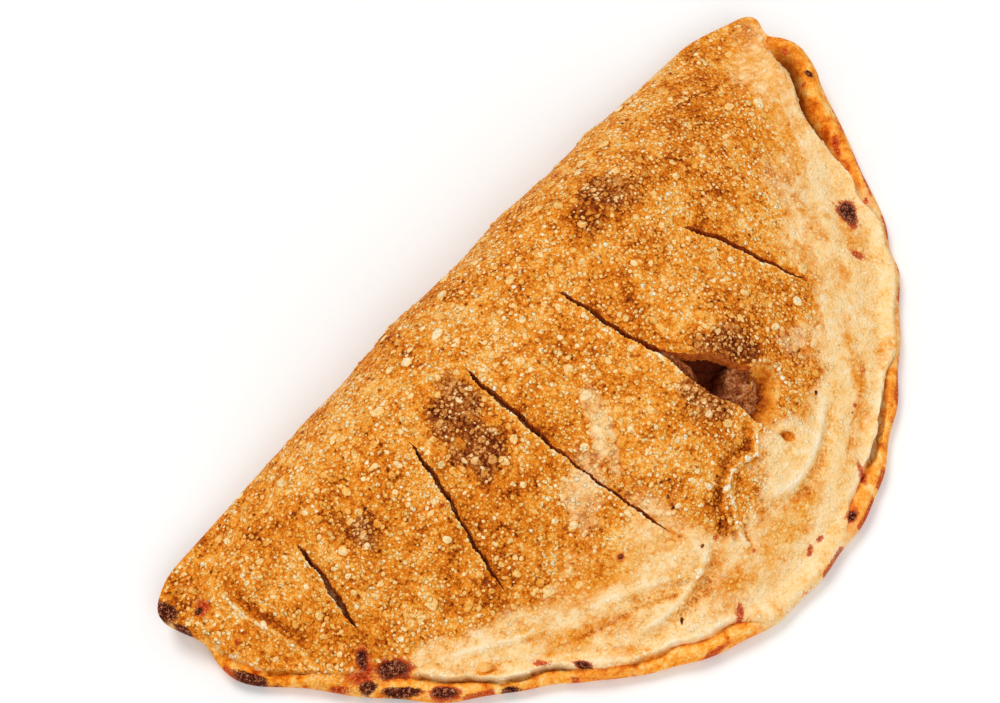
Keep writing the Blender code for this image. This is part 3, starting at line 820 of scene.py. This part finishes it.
def build_crust(baked, torn):
    """The crust: top, underside and the space inside, joined at the outline and through the slits."""
    holes = [loop for loop, _, _ in OPENINGS]
    outline = outline_loop(OUTLINE_POINTS)
    steps = (smooth_line(SCOOP_RIM), smooth_line(CLIFF))
    crisp = []
    for line in steps:
        crisp += beside(line, (-0.3, 0.12, 0.5), 2)
    crisp += lip_rows() + crease_rows() + slit_rows() + spot_points()
    plan, faces, loops = plan_sheet(outline, EDGE_ROWS, SPACING, True, holes, crisp=np.vstack(crisp))
    top = top_points(*plan.T)
    values = fields(*plan.T)
    top[loops[0], 2] = edge_height(plan[loops[0], 1])
    top[loops[0], :2] = plan[loops[0]]
    points, triangles = [top], [faces]
    count = len(top)

    # Underside, on the same outline.
    plan, faces, under_loops = plan_sheet(outline, UNDER_ROWS, UNDER_SPACING, False, [])
    under = under_points(*plan.T)
    shift = np.concatenate([loops[0], np.arange(count, count + len(plan) - len(outline))])
    points.append(under[len(outline):])
    triangles.append(shift[faces][:, ::-1])
    under_start = count
    count += len(plan) - len(outline)

    # The space inside: its roof has the same holes as the top.
    insets = (FOLD_WALL, RIM_WALL)
    inner_outline = outline_loop(CAVITY_POINTS, *insets)
    rows = (0.6, 2.0, 4.5, 8.0)
    plan, faces, roof_loops = plan_sheet(inner_outline, rows, CAVITY_SPACING, False, holes, insets, 1.0)
    roof = np.column_stack([plan, cavity_roof(*plan.T)])
    roof_start = count
    points.append(roof)
    triangles.append(faces[:, ::-1] + count)
    count += len(roof)
    plan, faces, _ = plan_sheet(inner_outline, rows, CAVITY_SPACING, False, [], insets)
    floor = np.column_stack([plan, np.full(len(plan), BASE_THICKNESS)])
    shift = np.concatenate([roof_start + roof_loops[0], np.arange(count, count + len(plan) - len(inner_outline))])
    points.append(floor[len(inner_outline):])
    triangles.append(shift[faces])
    count += len(plan) - len(inner_outline)
    wall_start = count

    # Walls of the openings, ragged and a little undercut.
    random = np.random.default_rng(5)
    for hole, low in zip(loops[1:], roof_loops[1:]):
        upper = hole
        for row in range(1, WALL_ROWS):
            share = row / WALL_ROWS
            wall = top[hole] * (1 - share) + roof[low] * share
            wall[:, :2] += random.uniform(-0.08, 0.08, (len(hole), 2))
            points.append(wall)
            lower = np.arange(count, count + len(hole))
            triangles.append(join_loops(upper, lower))
            upper = lower
            count += len(hole)
        triangles.append(join_loops(upper, roof_start + low))

    points = np.vstack(points)
    plan = points[:, :2]
    for key, value in fields(*plan[len(top):].T).items():
        values[key] = np.concatenate([values[key], value])
    values["under"][under_start:roof_start] = ramp(edge_gap(*plan[under_start:roof_start].T), 0.2, 3.0)
    faces = np.vstack(triangles)
    piece = make_piece("crust_shell", points, faces, values)
    within = (faces >= roof_start).any(axis=1).astype(np.int32)
    piece.data.materials.append(baked)
    piece.data.materials.append(torn)
    piece.data.polygons.foreach_set("material_index", within)
    return piece


# Materials.

def linear(red, green, blue):
    """A screen colour from 0 to 255 as the shader's own numbers."""
    return tuple(c / 12.92 if c < 0.04045 else ((c + 0.055) / 1.055) ** 2.4 for c in (red / 255, green / 255, blue / 255))


class Finish:
    """Short words for building one node material."""

    def __init__(self, name):
        self.material = bpy.data.materials.new(name)
        self.material.use_nodes = True
        self.tree = self.material.node_tree
        self.shader = self.tree.nodes["Principled BSDF"]
        self.place = self.tree.nodes.new("ShaderNodeTexCoord").outputs["Object"]

    def set(self, socket, value):
        if isinstance(value, bpy.types.NodeSocket):
            self.tree.links.new(value, socket)
        elif isinstance(value, tuple):
            socket.default_value = (*value, 1.0)[:len(socket.default_value)]
        else:
            socket.default_value = value

    def math(self, operation, a, b=0.0, clamped=False):
        node = self.tree.nodes.new("ShaderNodeMath")
        node.operation = operation
        node.use_clamp = clamped
        self.set(node.inputs[0], a)
        self.set(node.inputs[1], b)
        return node.outputs[0]

    def add(self, a, b):
        return self.math("ADD", a, b)

    def times(self, a, b):
        return self.math("MULTIPLY", a, b)

    def mix(self, a, b, share):
        """Colour a where share is 0 and colour b where it is 1."""
        node = self.tree.nodes.new("ShaderNodeMix")
        node.data_type = "RGBA"
        self.set(node.inputs[0], share)
        self.set(node.inputs[6], a)
        self.set(node.inputs[7], b)
        return node.outputs[2]

    def mix_value(self, a, b, share):
        return self.add(self.times(a, self.math("SUBTRACT", 1.0, share)), self.times(b, share))

    def sway(self, source, amount):
        """A source that swings about 0.5, made to swing about 0."""
        return self.times(self.math("SUBTRACT", source, 0.5), amount)

    def ramp(self, value, start, end, low=0.0, high=1.0):
        node = self.tree.nodes.new("ShaderNodeMapRange")
        node.interpolation_type = "SMOOTHSTEP"
        self.set(node.inputs["Value"], value)
        self.set(node.inputs["From Min"], start)
        self.set(node.inputs["From Max"], end)
        self.set(node.inputs["To Min"], low)
        self.set(node.inputs["To Max"], high)
        return node.outputs["Result"]

    def value(self, name):
        node = self.tree.nodes.new("ShaderNodeAttribute")
        node.attribute_name = name
        return node.outputs["Fac"]

    def noise(self, size, detail=3.0, roughness=0.6, distortion=0.0, offset=0.0):
        node = self.tree.nodes.new("ShaderNodeTexNoise")
        where = self.place
        if offset:
            shift = self.tree.nodes.new("ShaderNodeVectorMath")
            shift.inputs[1].default_value = (offset, offset * 0.7, -offset)
            self.tree.links.new(where, shift.inputs[0])
            where = shift.outputs[0]
        self.tree.links.new(where, node.inputs["Vector"])
        node.inputs["Scale"].default_value = 1 / (size * MM)
        node.inputs["Detail"].default_value = detail
        node.inputs["Roughness"].default_value = roughness
        node.inputs["Distortion"].default_value = distortion
        return node.outputs["Fac"]

    def wobble(self, size, amount):
        """The place, shifted about by noise, so that cells aren't perfect."""
        node = self.tree.nodes.new("ShaderNodeTexNoise")
        self.tree.links.new(self.place, node.inputs["Vector"])
        node.inputs["Scale"].default_value = 1 / (size * MM)
        node.inputs["Detail"].default_value = 1.0
        shift = self.tree.nodes.new("ShaderNodeVectorMath")
        shift.operation = "MULTIPLY_ADD"
        self.tree.links.new(node.outputs["Color"], shift.inputs[0])
        shift.inputs[1].default_value = (amount * MM,) * 3
        self.tree.links.new(self.place, shift.inputs[2])
        return shift.outputs[0]

    def cells(self, size, where):
        """Random cells about size across: distance from the cell's middle, in cells, and two random values."""
        node = self.tree.nodes.new("ShaderNodeTexVoronoi")
        self.tree.links.new(where, node.inputs["Vector"])
        node.inputs["Scale"].default_value = 1 / (size * MM)
        parts = self.tree.nodes.new("ShaderNodeSeparateColor")
        self.tree.links.new(node.outputs["Color"], parts.inputs[0])
        return node.outputs["Distance"], parts.outputs[0], parts.outputs[1]

    def colours(self, value, *stops):
        """A colour ramp: (place, screen colour) pairs."""
        node = self.tree.nodes.new("ShaderNodeValToRGB")
        self.set(node.inputs[0], value)
        elements = node.color_ramp.elements
        for number, (place, colour) in enumerate(stops):
            element = elements[number] if number < 2 else elements.new(place)
            element.position = place
            element.color = (*linear(*colour), 1.0)
        return node.outputs[0]

    def finish(self, colour, roughness, height, specular=0.05):
        self.set(self.shader.inputs["Base Color"], colour)
        self.set(self.shader.inputs["Roughness"], roughness)
        self.shader.inputs["Specular IOR Level"].default_value = specular
        node = self.tree.nodes.new("ShaderNodeBump")
        node.inputs["Strength"].default_value = 1.0
        node.inputs["Distance"].default_value = MM
        self.tree.links.new(height, node.inputs["Height"])
        self.tree.links.new(node.outputs[0], self.shader.inputs["Normal"])
        return self.material


# Screen colours from the darkest to the lightest: amber, floury and toasted skin, and the smooth lip.
AMBER = (
    (0.0, (92, 28, 4)), (0.14, (150, 64, 8)), (0.28, (206, 104, 14)), (0.41, (229, 134, 30)), (0.52, (240, 160, 56)),
    (0.62, (246, 184, 94)), (0.74, (248, 208, 138)), (0.86, (251, 228, 184)), (1.0, (255, 246, 226)),
)
FLOURY = (
    (0.0, (168, 88, 28)), (0.16, (222, 132, 48)), (0.28, (243, 174, 86)), (0.4, (250, 203, 132)),
    (0.52, (252, 216, 158)), (0.66, (253, 227, 184)), (0.9, (255, 242, 220)),
)
TOASTED_SKIN = (
    (0.0, (60, 18, 3)), (0.2, (104, 38, 8)), (0.36, (140, 62, 16)), (0.5, (172, 94, 32)), (0.62, (200, 124, 50)),
    (0.76, (222, 154, 80)), (0.9, (240, 186, 118)), (1.0, (252, 222, 172)),
)
SMOOTH_LIP = (
    (0.0, (140, 44, 2)), (0.2, (196, 80, 4)), (0.36, (232, 118, 10)), (0.5, (250, 152, 34)), (0.64, (254, 178, 70)),
    (0.8, (250, 206, 128)), (1.0, (252, 228, 180)),
)


def crust_material():
    m = Finish("baked_crust")
    pale, toast, char, red = m.value("pale"), m.value("toast"), m.value("char"), m.value("red")
    lip, groove, under, cap = m.value("lip"), m.value("groove"), m.value("under"), m.value("cap")
    # The shade attribute, read here as edge, holds painted highlights and painted shade.
    scoop, tint, edge, calm = m.value("scoop"), m.value("tint"), m.value("shade"), m.value("calm")
    broad, patch, mid = m.noise(16, 2), m.noise(5.0, 3, 0.6, 0.4), m.noise(2.1, 2, 0.6, 0.3, 0.3)
    fine, grit = m.noise(0.95, 2, 0.6), m.noise(0.42, 1, 0.6)
    pale = m.ramp(m.add(pale, m.times(m.add(m.sway(patch, 0.7), m.sway(mid, 0.6)), m.ramp(pale, 0.0, 0.3))), 0.12, 0.85)
    deeper = m.times(toast, 0.28)
    toast = m.ramp(m.add(toast, m.times(m.add(m.sway(patch, 0.8), m.sway(mid, 0.9)), m.ramp(toast, 0.1, 0.5))), 0.3, 0.85)
    smooth = m.math("MAXIMUM", lip, m.times(scoop, 0.5))

    # Packed grains, lighter on top and darker in the gaps as their own tone and painted shade, larger beads, pale
    # specks that are painted glints, and dark pits with painted shade, each in cells of its own size.
    where = m.wobble(2.0, 0.9)
    gap, pick, shade = m.cells(1.15, where)
    swell = m.ramp(gap, 0.6, 0.1)
    grain_tone_and_shade = m.times(m.math("SUBTRACT", swell, 0.45), m.ramp(pick, 0.0, 1.0, 0.12, 0.4))
    bead_gap, bead_pick, bead_shade = m.cells(2.4, where)
    bead = m.times(m.ramp(bead_gap, 0.38, 0.25), m.ramp(bead_pick, 0.6, 0.7))
    speck_gap, speck_pick, _ = m.cells(1.7, m.wobble(1.0, 0.5))
    speck_and_glint = m.times(m.ramp(speck_gap, 0.24, 0.1), m.ramp(speck_pick, 0.45, 0.6))
    pit_gap, pit_pick, _ = m.cells(2.0, m.wobble(1.4, 1.2))
    pit_and_shade = m.times(m.ramp(pit_gap, 0.34, 0.1), m.ramp(pit_pick, 0.45, 0.6))

    fine_part = m.add(m.sway(fine, 0.45), m.sway(grit, 0.45))
    tone = m.add(m.add(m.sway(broad, 0.75), m.sway(patch, 0.6)), m.add(m.sway(mid, 0.55), fine_part))
    # The grains, lighter on top and darker in the gaps: partly their own tone, partly painted shade.
    tone = m.add(tone, m.add(grain_tone_and_shade, m.times(m.sway(shade, 0.1), swell)))
    tone = m.add(tone, m.times(bead, m.add(0.12, m.times(bead_shade, 0.2))))
    # Painted glints on the pale specks, and painted shade in the dark pits.
    tone = m.add(tone, m.math("SUBTRACT", m.times(speck_and_glint, 0.32), m.times(pit_and_shade, 0.2)))
    crown = m.ramp(cap, 0.15, 0.7)
    # A painted shade ring round the foot of each blister dome.
    painted_foot_shade = m.times(m.ramp(tint, 0.0, 0.04), m.ramp(cap, 0.5, 0.1))
    dome = m.add(m.add(0.2, m.sway(tint, 0.38)), m.add(m.times(fine_part, 0.6), m.sway(mid, 0.5)))
    tone = m.mix_value(tone, dome, m.times(crown, 0.9))
    tone = m.math("SUBTRACT", tone, m.times(painted_foot_shade, 0.12))

    # Painted highlights and painted shade along edges, ridges and valleys, broken up by noise; they lighten and darken
    # the amber, floury and lip colours below.
    edge = m.times(edge, m.add(0.8, m.sway(fine, 1.5)))
    quiet = m.ramp(calm, 0.0, 1.0, 1.0, 0.5)
    lighter = m.add(m.times(tone, quiet), m.math("SUBTRACT", m.times(calm, 0.05), deeper))
    amber = m.colours(m.add(m.add(0.5, lighter), m.times(edge, 0.38)), *AMBER)
    fleck = m.times(m.ramp(m.add(mid, m.sway(fine, 0.8)), 0.5, 0.66), 0.16)
    floury = m.math("SUBTRACT", m.add(m.times(tone, 0.3), m.add(m.sway(patch, 0.5), m.sway(mid, 0.3))), fleck)
    floury = m.colours(m.add(m.add(0.52, floury), m.times(edge, 0.3)), *FLOURY)
    toasty = m.colours(m.add(0.5, m.times(tone, 1.35)), *TOASTED_SKIN)
    colour = m.mix(m.mix(amber, floury, pale), toasty, toast)

    lip_tone = m.add(m.add(0.56, m.times(edge, 0.3)), m.add(m.add(m.sway(broad, 0.5), m.sway(patch, 1.2)), m.add(m.sway(mid, 0.7), fine_part)))
    colour = m.mix(colour, m.colours(lip_tone, *SMOOTH_LIP), m.times(lip, 0.92))
    # The sagged dough's colour, with painted shade that darkens it the deeper it lies.
    sagged_colour_and_shade = m.add(m.sway(patch, 0.7), m.add(m.sway(mid, 0.7), m.times(tone, 0.6)))
    sagged_colour_and_shade = m.colours(m.math("SUBTRACT", scoop, sagged_colour_and_shade),
                       (0.05, (248, 196, 110)), (0.3, (238, 156, 56)), (0.58, (218, 120, 24)), (0.85, (172, 80, 14)),
                       (1.05, (112, 42, 8)))
    colour = m.mix(colour, sagged_colour_and_shade, m.ramp(m.add(scoop, m.times(m.sway(mid, 1.0), m.ramp(scoop, 0.0, 0.2))), 0.05, 0.4))
    # A painted shadow along the foot of the upper layer's edge.
    colour = m.mix(colour, linear(104, 36, 3), m.times(groove, 0.85))

    torn = m.add(m.sway(fine, 1.5), m.sway(grit, 0.8))
    reddened = m.ramp(m.add(m.add(red, torn), m.ramp(char, 0.2, 0.5, 0.0, 0.25)), 0.4, 0.7)
    red_skin = m.colours(m.add(fine, m.sway(grit, 0.6)), (0.3, (120, 16, 6)), (0.45, (176, 36, 12)),
                         (0.58, (206, 72, 22)), (0.7, (232, 140, 80)))
    colour = m.mix(colour, red_skin, m.times(reddened, 0.9))
    charred = m.ramp(m.add(char, m.times(torn, 0.6)), 0.45, 0.65)
    burnt = m.colours(m.add(fine, m.sway(grit, 0.9)), (0.3, (22, 4, 2)), (0.46, (72, 24, 10)), (0.58, (112, 50, 28)),
                      (0.75, (196, 128, 88)))
    colour = m.mix(colour, burnt, charred)

    base = m.colours(m.add(0.5, tone), (0.2, (168, 92, 36)), (0.5, (214, 152, 86)), (0.8, (236, 200, 150)))
    colour = m.mix(colour, base, under)

    rough = m.math("SUBTRACT", 1.0, m.times(smooth, 0.6))
    bumps = m.add(m.times(swell, m.add(0.12, m.times(pick, 0.3))), m.add(m.times(bead, 0.45), m.times(speck_and_glint, 0.2)))
    bumps = m.math("SUBTRACT", bumps, m.times(pit_and_shade, 0.35))
    height = m.times(m.times(m.add(bumps, m.times(fine, 0.5)), rough), m.ramp(calm, 0.1, 0.9, 1.0, 0.45))
    height = m.add(height, m.add(m.times(mid, 0.35), m.times(grit, 0.12)))
    height = m.math("SUBTRACT", height, m.times(charred, 0.2))
    return m.finish(colour, m.ramp(fine, 0.3, 0.7, 0.5, 0.72), height)


def torn_material():
    """Cut dough inside the slits."""
    m = Finish("torn_dough")
    patch, fine = m.noise(2.6, 4, 0.65), m.noise(0.8, 2, 0.6)
    colour = m.colours(m.add(m.times(patch, 0.6), m.times(fine, 0.4)),
                       (0.34, (160, 72, 24)), (0.48, (198, 98, 34)), (0.6, (224, 130, 56)), (0.72, (240, 166, 92)))
    return m.finish(colour, 0.9, m.add(m.times(patch, 0.5), m.times(fine, 0.3)), 0.0)


def filling_material():
    m = Finish("browned_filling")
    lumps, fine = m.noise(3.0, 4, 0.6), m.noise(0.9, 3, 0.7)
    tone = m.add(m.times(lumps, 0.5), m.times(fine, 0.5))
    # The filling's own colour, mixed below towards a painted shade where it lies deep.
    filling_own_colour = m.colours(tone, (0.38, (84, 32, 12)), (0.46, (140, 70, 32)), (0.54, (184, 112, 62)), (0.66, (232, 182, 132)))
    depth_shade = m.value("depth_shade")
    colour = m.mix(filling_own_colour, linear(104, 34, 16), m.times(depth_shade, 0.9))
    return m.finish(colour, 0.7, m.add(m.times(lumps, 0.8), m.times(fine, 0.5)), 0.02)


def floor_material():
    m = Finish("studio_floor")
    colour = m.colours(m.noise(300, 1), (0.3, (246, 246, 245)), (0.7, (249, 249, 248)))
    return m.finish(colour, 0.9, m.times(m.noise(2.0, 1), 0.02), 0.1)


# Blisters.

def surface_frames(x, y):
    """Place, normal and two directions along the surface at each plan point."""
    normal = normal_at(x, y)
    along = np.cross(normal, np.array([0.0, 1.0, 0.0]))
    along /= np.linalg.norm(along, axis=1)[:, None]
    return top_points(x, y), normal, along, np.cross(normal, along)


def scatter(count, seed, radius_of, density_of):
    """Seeded places for up to count domes that keep clear of each other."""
    random = np.random.default_rng(seed)
    tries = count * 14
    x = random.uniform(-HALF_LENGTH, HALF_LENGTH, tries)
    y = random.uniform(-140, 12, tries)
    within = edge_gap(x, y) > 1.0
    x, y = x[within], y[within]
    stretch = 1 / np.maximum(normal_at(x, y)[:, 2], 0.2)
    chance = density_of(x, y) * stretch / 2.5
    keep = random.uniform(0, 1, len(x)) < chance
    x, y = x[keep], y[keep]
    radius = radius_of(random, x, y)
    keep = opening_gap(x, y, 6.0) > radius + 0.35
    for loop, _, _ in OPENINGS:
        keep &= ~inside_loop(x, y, loop)
    x, y, radius = x[keep], y[keep], radius[keep]
    points = top_points(x, y)
    chosen = []
    cells = {}
    for index, (point, size) in enumerate(zip(points, radius)):
        key = tuple((point // 4.5).astype(int))
        clear = True
        for dx in (-1, 0, 1):
            for dy in (-1, 0, 1):
                for dz in (-1, 0, 1):
                    for other in cells.get((key[0] + dx, key[1] + dy, key[2] + dz), ()):
                        if np.sum((points[other] - point) ** 2) < (0.92 * (radius[other] + size)) ** 2:
                            clear = False
                            break
        if clear:
            cells.setdefault(key, []).append(index)
            chosen.append(index)
            if len(chosen) == count:
                break
    return x[chosen], y[chosen], radius[chosen]


def domes(name, x, y, radius, sides, rings, flatness, seed):
    """Closed low domes joined in one piece. Each ring is a share of the radius and a share of the height."""
    random = np.random.default_rng(seed)
    count = len(x)
    place, normal, along, across = surface_frames(x, y)
    turn = random.uniform(0, 2 * math.pi, count)
    lobe = random.uniform(0, 2 * math.pi, (2, count))
    height = radius * flatness * random.uniform(0.75, 1.25, count)
    oval = random.uniform(0.8, 1.2, count)
    points, caps = [], []
    for ring_radius, ring_height in rings:
        for side in range(sides):
            angle = turn + 2 * math.pi * side / sides
            uneven = 0.13 * np.sin(2 * angle + lobe[0]) + 0.09 * np.sin(3 * angle + lobe[1])
            reach = radius * ring_radius * (1 + (uneven + random.uniform(-0.07, 0.07, count)) * ring_radius)
            points.append(place + along * (reach * oval * np.cos(angle))[:, None]
                          + across * (reach / oval * np.sin(angle))[:, None] + normal * (height * ring_height)[:, None])
            caps.append(np.full(count, clamp(ring_height)))
    lean = random.uniform(-0.15, 0.15, (2, count)) * radius
    points.append(place + normal * height[:, None] + along * lean[0][:, None] + across * lean[1][:, None])
    caps.append(np.ones(count))
    points.append(place - normal * (0.5 * height)[:, None])
    caps.append(np.zeros(count))
    each = sides * len(rings) + 2
    faces = []
    for ring in range(len(rings) - 1):
        for side in range(sides):
            a, b = ring * sides + side, ring * sides + (side + 1) % sides
            faces += [(a, b, b + sides), (a, b + sides, a + sides)]
    last = (len(rings) - 1) * sides
    for side in range(sides):
        after = (side + 1) % sides
        faces.append((last + side, last + after, each - 2))
        faces.append((after, side, each - 1))
    order = np.stack(points, axis=1).reshape(-1, 3)
    everything = (np.array(faces)[None] + np.arange(count)[:, None, None] * each).reshape(-1, 3)
    values = {key: np.repeat(value, each) for key, value in fields(x, y).items()}
    values["cap"] = np.stack(caps, axis=1).ravel()
    values["tint"] = np.repeat(random.uniform(0.05, 1, count), each)
    return make_piece(name, order, everything, values, 85.0)


def blister_density(x, y, on_pale, on_toast):
    spread = fields(x, y)
    bare = np.maximum.reduce([spread["lip"], spread["groove"], spread["char"], clamp(3 * spread["scoop"])])
    patchy = 0.2 + 0.8 * ramp(noise(x, y, 11, 61) + 0.8 * noise(x, y, 5, 62), -0.5, 0.5)
    amount = patchy * (1 - (1 - on_pale) * ramp(spread["pale"], 0.1, 0.7))
    return clamp(1 - 1.3 * bare) * (amount + (on_toast - amount) * ramp(spread["toast"], 0.15, 0.6))


def build_blisters():
    small_rings = ((1.0, -0.1), (0.68, 0.66))
    large_rings = ((1.0, -0.1), (0.84, 0.42), (0.5, 0.84))

    def small_radius(random, x, y):
        return np.clip(random.lognormal(math.log(0.62), 0.22, len(x)), 0.4, 1.0)

    def large_radius(random, x, y):
        return np.clip(0.75 + random.exponential(0.36, len(x)), 0.75, 2.3)

    large = scatter(1200, 71, large_radius, lambda x, y: 0.5 * blister_density(x, y, 0.08, 1.6))
    small = scatter(5200, 72, small_radius, lambda x, y: blister_density(x, y, 0.2, 2.0))
    return [
        domes("large_blisters", *large, 9, large_rings, 0.26, 73),
        domes("small_blisters", *small, 6, small_rings, 0.36, 74),
    ]


# Filling.

def build_filling():
    """The filling under the crust, sunk beneath the tear."""
    gap = 0.6
    insets = (FOLD_WALL + 2 * gap, RIM_WALL + 2 * gap)
    outline = outline_loop(300, *insets)
    rows = (0.5, 1.6, 3.5, 6.0)
    plan, faces, loops = plan_sheet(outline, rows, 2.6, False, [], insets)
    x, y = plan.T
    pit_x, pit_y, pit_radius, pit_depth = PIT
    roof = cavity_roof(x, y) - gap - 0.5 * (1 + noise(x, y, 5, 81))
    sunk = pit_depth * bump(np.hypot(x - pit_x, y - pit_y), pit_radius)
    roof = roof - sunk * ramp(edge_gap(x, y, *insets), 2, 8)
    z = np.maximum(roof, BASE_THICKNESS + gap + 1.0 * ramp(edge_gap(x, y, *insets), 0, 3))
    z[loops[0]] = BASE_THICKNESS + gap
    top = np.column_stack([x, y, z])
    under = np.column_stack([x, y, np.full(len(x), BASE_THICKNESS + gap)])[len(outline):]
    shift = np.concatenate([loops[0], np.arange(len(top), len(top) + len(under))])
    points = np.vstack([top, under])
    # How strongly painted shade darkens the filling: where it is sunk, and all of the underside.
    depth_shade = np.concatenate([clamp(sunk / 6), np.ones(len(under))])
    return make_piece("filling_mass", points, np.vstack([faces, shift[faces][:, ::-1]]), {"depth_shade": depth_shade}, 80.0)


def lump_depth(x, y):
    """How far under the crust's own form the rough filling in the tear lies."""
    opening = OPENINGS[-1][0]
    gap = np.abs(by_line(x, y, np.vstack([opening, opening[:1]])[::2], 4.0)[0])
    outside = np.where(inside_loop(x, y, opening), 0.0, np.minimum(gap, 4.0))
    inward = (x - LUMP_BORDER[0]) * LUMP_INWARD[0] + (y - LUMP_BORDER[1]) * LUMP_INWARD[1]
    along = (x - LUMP_BORDER[0]) * LUMP_INWARD[1] - (y - LUMP_BORDER[1]) * LUMP_INWARD[0]
    depth = LUMP_DEPTH + 2.2 * ramp(inward, 0, 6) + 9.0 * ramp(inward, 4, 12)
    crumbs = np.abs(by_line(x, y, smooth_line(CRUMBS), 5.0)[0])
    depth = np.minimum(depth, 1.6 + (crumbs / 1.25) ** 2)
    curds = 1.7 * noise(along, 0.7 * inward, 3.2, 91) + 1.0 * noise(along, inward, 1.4, 92) + 0.35 * noise(x, y, 0.7, 93)
    start = np.where(inward < 1.5, 0.8, 0.1)
    return depth + curds * 0.8 + 4.5 * ramp(outside, start, start + 1.5)


def build_lump():
    """The rough filling that shows in the tear: curds that sink away into the hollow, darkened there with painted
    shade.
    """
    across, along = np.arange(12.0, 38.0, 0.3), np.arange(-94.0, -57.0, 0.3)
    x, y = (grid.ravel() for grid in np.meshgrid(across, along, indexing="ij"))
    depth = lump_depth(x, y)
    z = np.maximum(top_form(x, y) - depth, BASE_THICKNESS + 1.2)
    index = np.arange(x.size).reshape(len(across), len(along))
    a, b, c, d = (part.ravel() for part in (index[:-1, :-1], index[1:, :-1], index[1:, 1:], index[:-1, 1:]))
    border = np.concatenate([index[:-1, 0], index[-1, :-1], index[:0:-1, -1], index[0, :0:-1]])
    low = np.full(len(border), BASE_THICKNESS + 1.0)
    points = np.vstack([np.column_stack([x, y, z]), np.column_stack([x[border], y[border], low]),
                        [[x.mean(), y.mean(), BASE_THICKNESS + 1.0]]])
    under = np.arange(len(border)) + x.size
    faces = [np.column_stack([a, b, c]), np.column_stack([a, c, d]), join_loops(border, under)[:, ::-1],
             np.column_stack([np.roll(under, -1), under, np.full(len(under), len(points) - 1)])]
    # How strongly painted shade darkens the curds, more the deeper they lie.
    depth_shade = np.concatenate([clamp((depth - 4.5) / 5), np.ones(len(border) + 1)])
    return make_piece("filling_lump", points, np.vstack(faces), {"depth_shade": depth_shade}, 80.0)


# Scene.

def build_floor():
    half = 1.5
    mesh = bpy.data.meshes.new("floor")
    mesh.from_pydata([(-half, -half, 0), (half, -half, 0), (half, half, 0), (-half, half, 0)], [], [(0, 1, 2, 3)])
    floor = bpy.data.objects.new("floor", mesh)
    bpy.context.collection.objects.link(floor)
    floor.data.materials.append(floor_material())


def direction(turn, rise):
    """Unit vector towards a point seen at this turn from -Y and this rise above the floor, in degrees."""
    t, r = math.radians(turn), math.radians(rise)
    return Vector((math.sin(t) * math.cos(r), -math.cos(t) * math.cos(r), math.sin(r)))


CAMERA_LENS = 111.6
CAMERA_TURN = -47.0
CAMERA_RISE = 66.62
CAMERA_DISTANCE = 958.0
CAMERA_AIM = (-3.2, -15.9)


def build_camera():
    middle = (CRUST_LOW + CRUST_HIGH) / 2
    aim = Vector(((CAMERA_AIM[0] - PLAN_MIDDLE[0]) * MM + middle.x, (CAMERA_AIM[1] - PLAN_MIDDLE[1]) * MM + middle.y, 0))
    back = direction(CAMERA_TURN, CAMERA_RISE)
    data = bpy.data.cameras.new("camera")
    data.lens = CAMERA_LENS
    data.sensor_width = 36.0
    data.clip_start = 0.01
    camera = bpy.data.objects.new("camera", data)
    camera.location = aim + back * CAMERA_DISTANCE * MM
    camera.rotation_mode = "QUATERNION"
    camera.rotation_quaternion = (-back).to_track_quat("-Z", "Y")
    bpy.context.collection.objects.link(camera)
    bpy.context.scene.camera = camera


# Soft suns: turn, rise and softness in degrees, strength. The key stands behind the fold and the fill before the rim.
SUNS = (("key", 172.0, 55.0, 26.0, 1.35), ("fill", -30.0, 50.0, 50.0, 1.05))
SKY_STRENGTH = 0.50


def build_lights():
    for name, turn, rise, softness, strength in SUNS:
        data = bpy.data.lights.new(name, "SUN")
        data.energy = strength
        data.angle = math.radians(softness)
        sun = bpy.data.objects.new(name, data)
        sun.rotation_mode = "QUATERNION"
        sun.rotation_quaternion = direction(turn, rise).to_track_quat("Z", "Y")
        bpy.context.collection.objects.link(sun)
    world = bpy.data.worlds.new("studio")
    world.use_nodes = True
    world.node_tree.nodes["Background"].inputs[0].default_value = (1, 1, 1, 1)
    world.node_tree.nodes["Background"].inputs[1].default_value = SKY_STRENGTH
    bpy.context.scene.world = world
    bpy.context.scene.view_settings.view_transform = "Standard"


def main():
    baked = crust_material()
    filled = filling_material()
    crust = build_crust(baked, torn_material())
    blisters = build_blisters()
    for piece in blisters:
        piece.data.materials.append(baked)
    for piece in [crust] + blisters:
        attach(piece, "root")
    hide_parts("crust")
    filling = build_filling()
    for piece in (filling, build_lump()):
        piece.data.materials.append(filled)
        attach(piece, "root")
    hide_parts("filling")
    build_floor()
    build_camera()
    build_lights()


main()
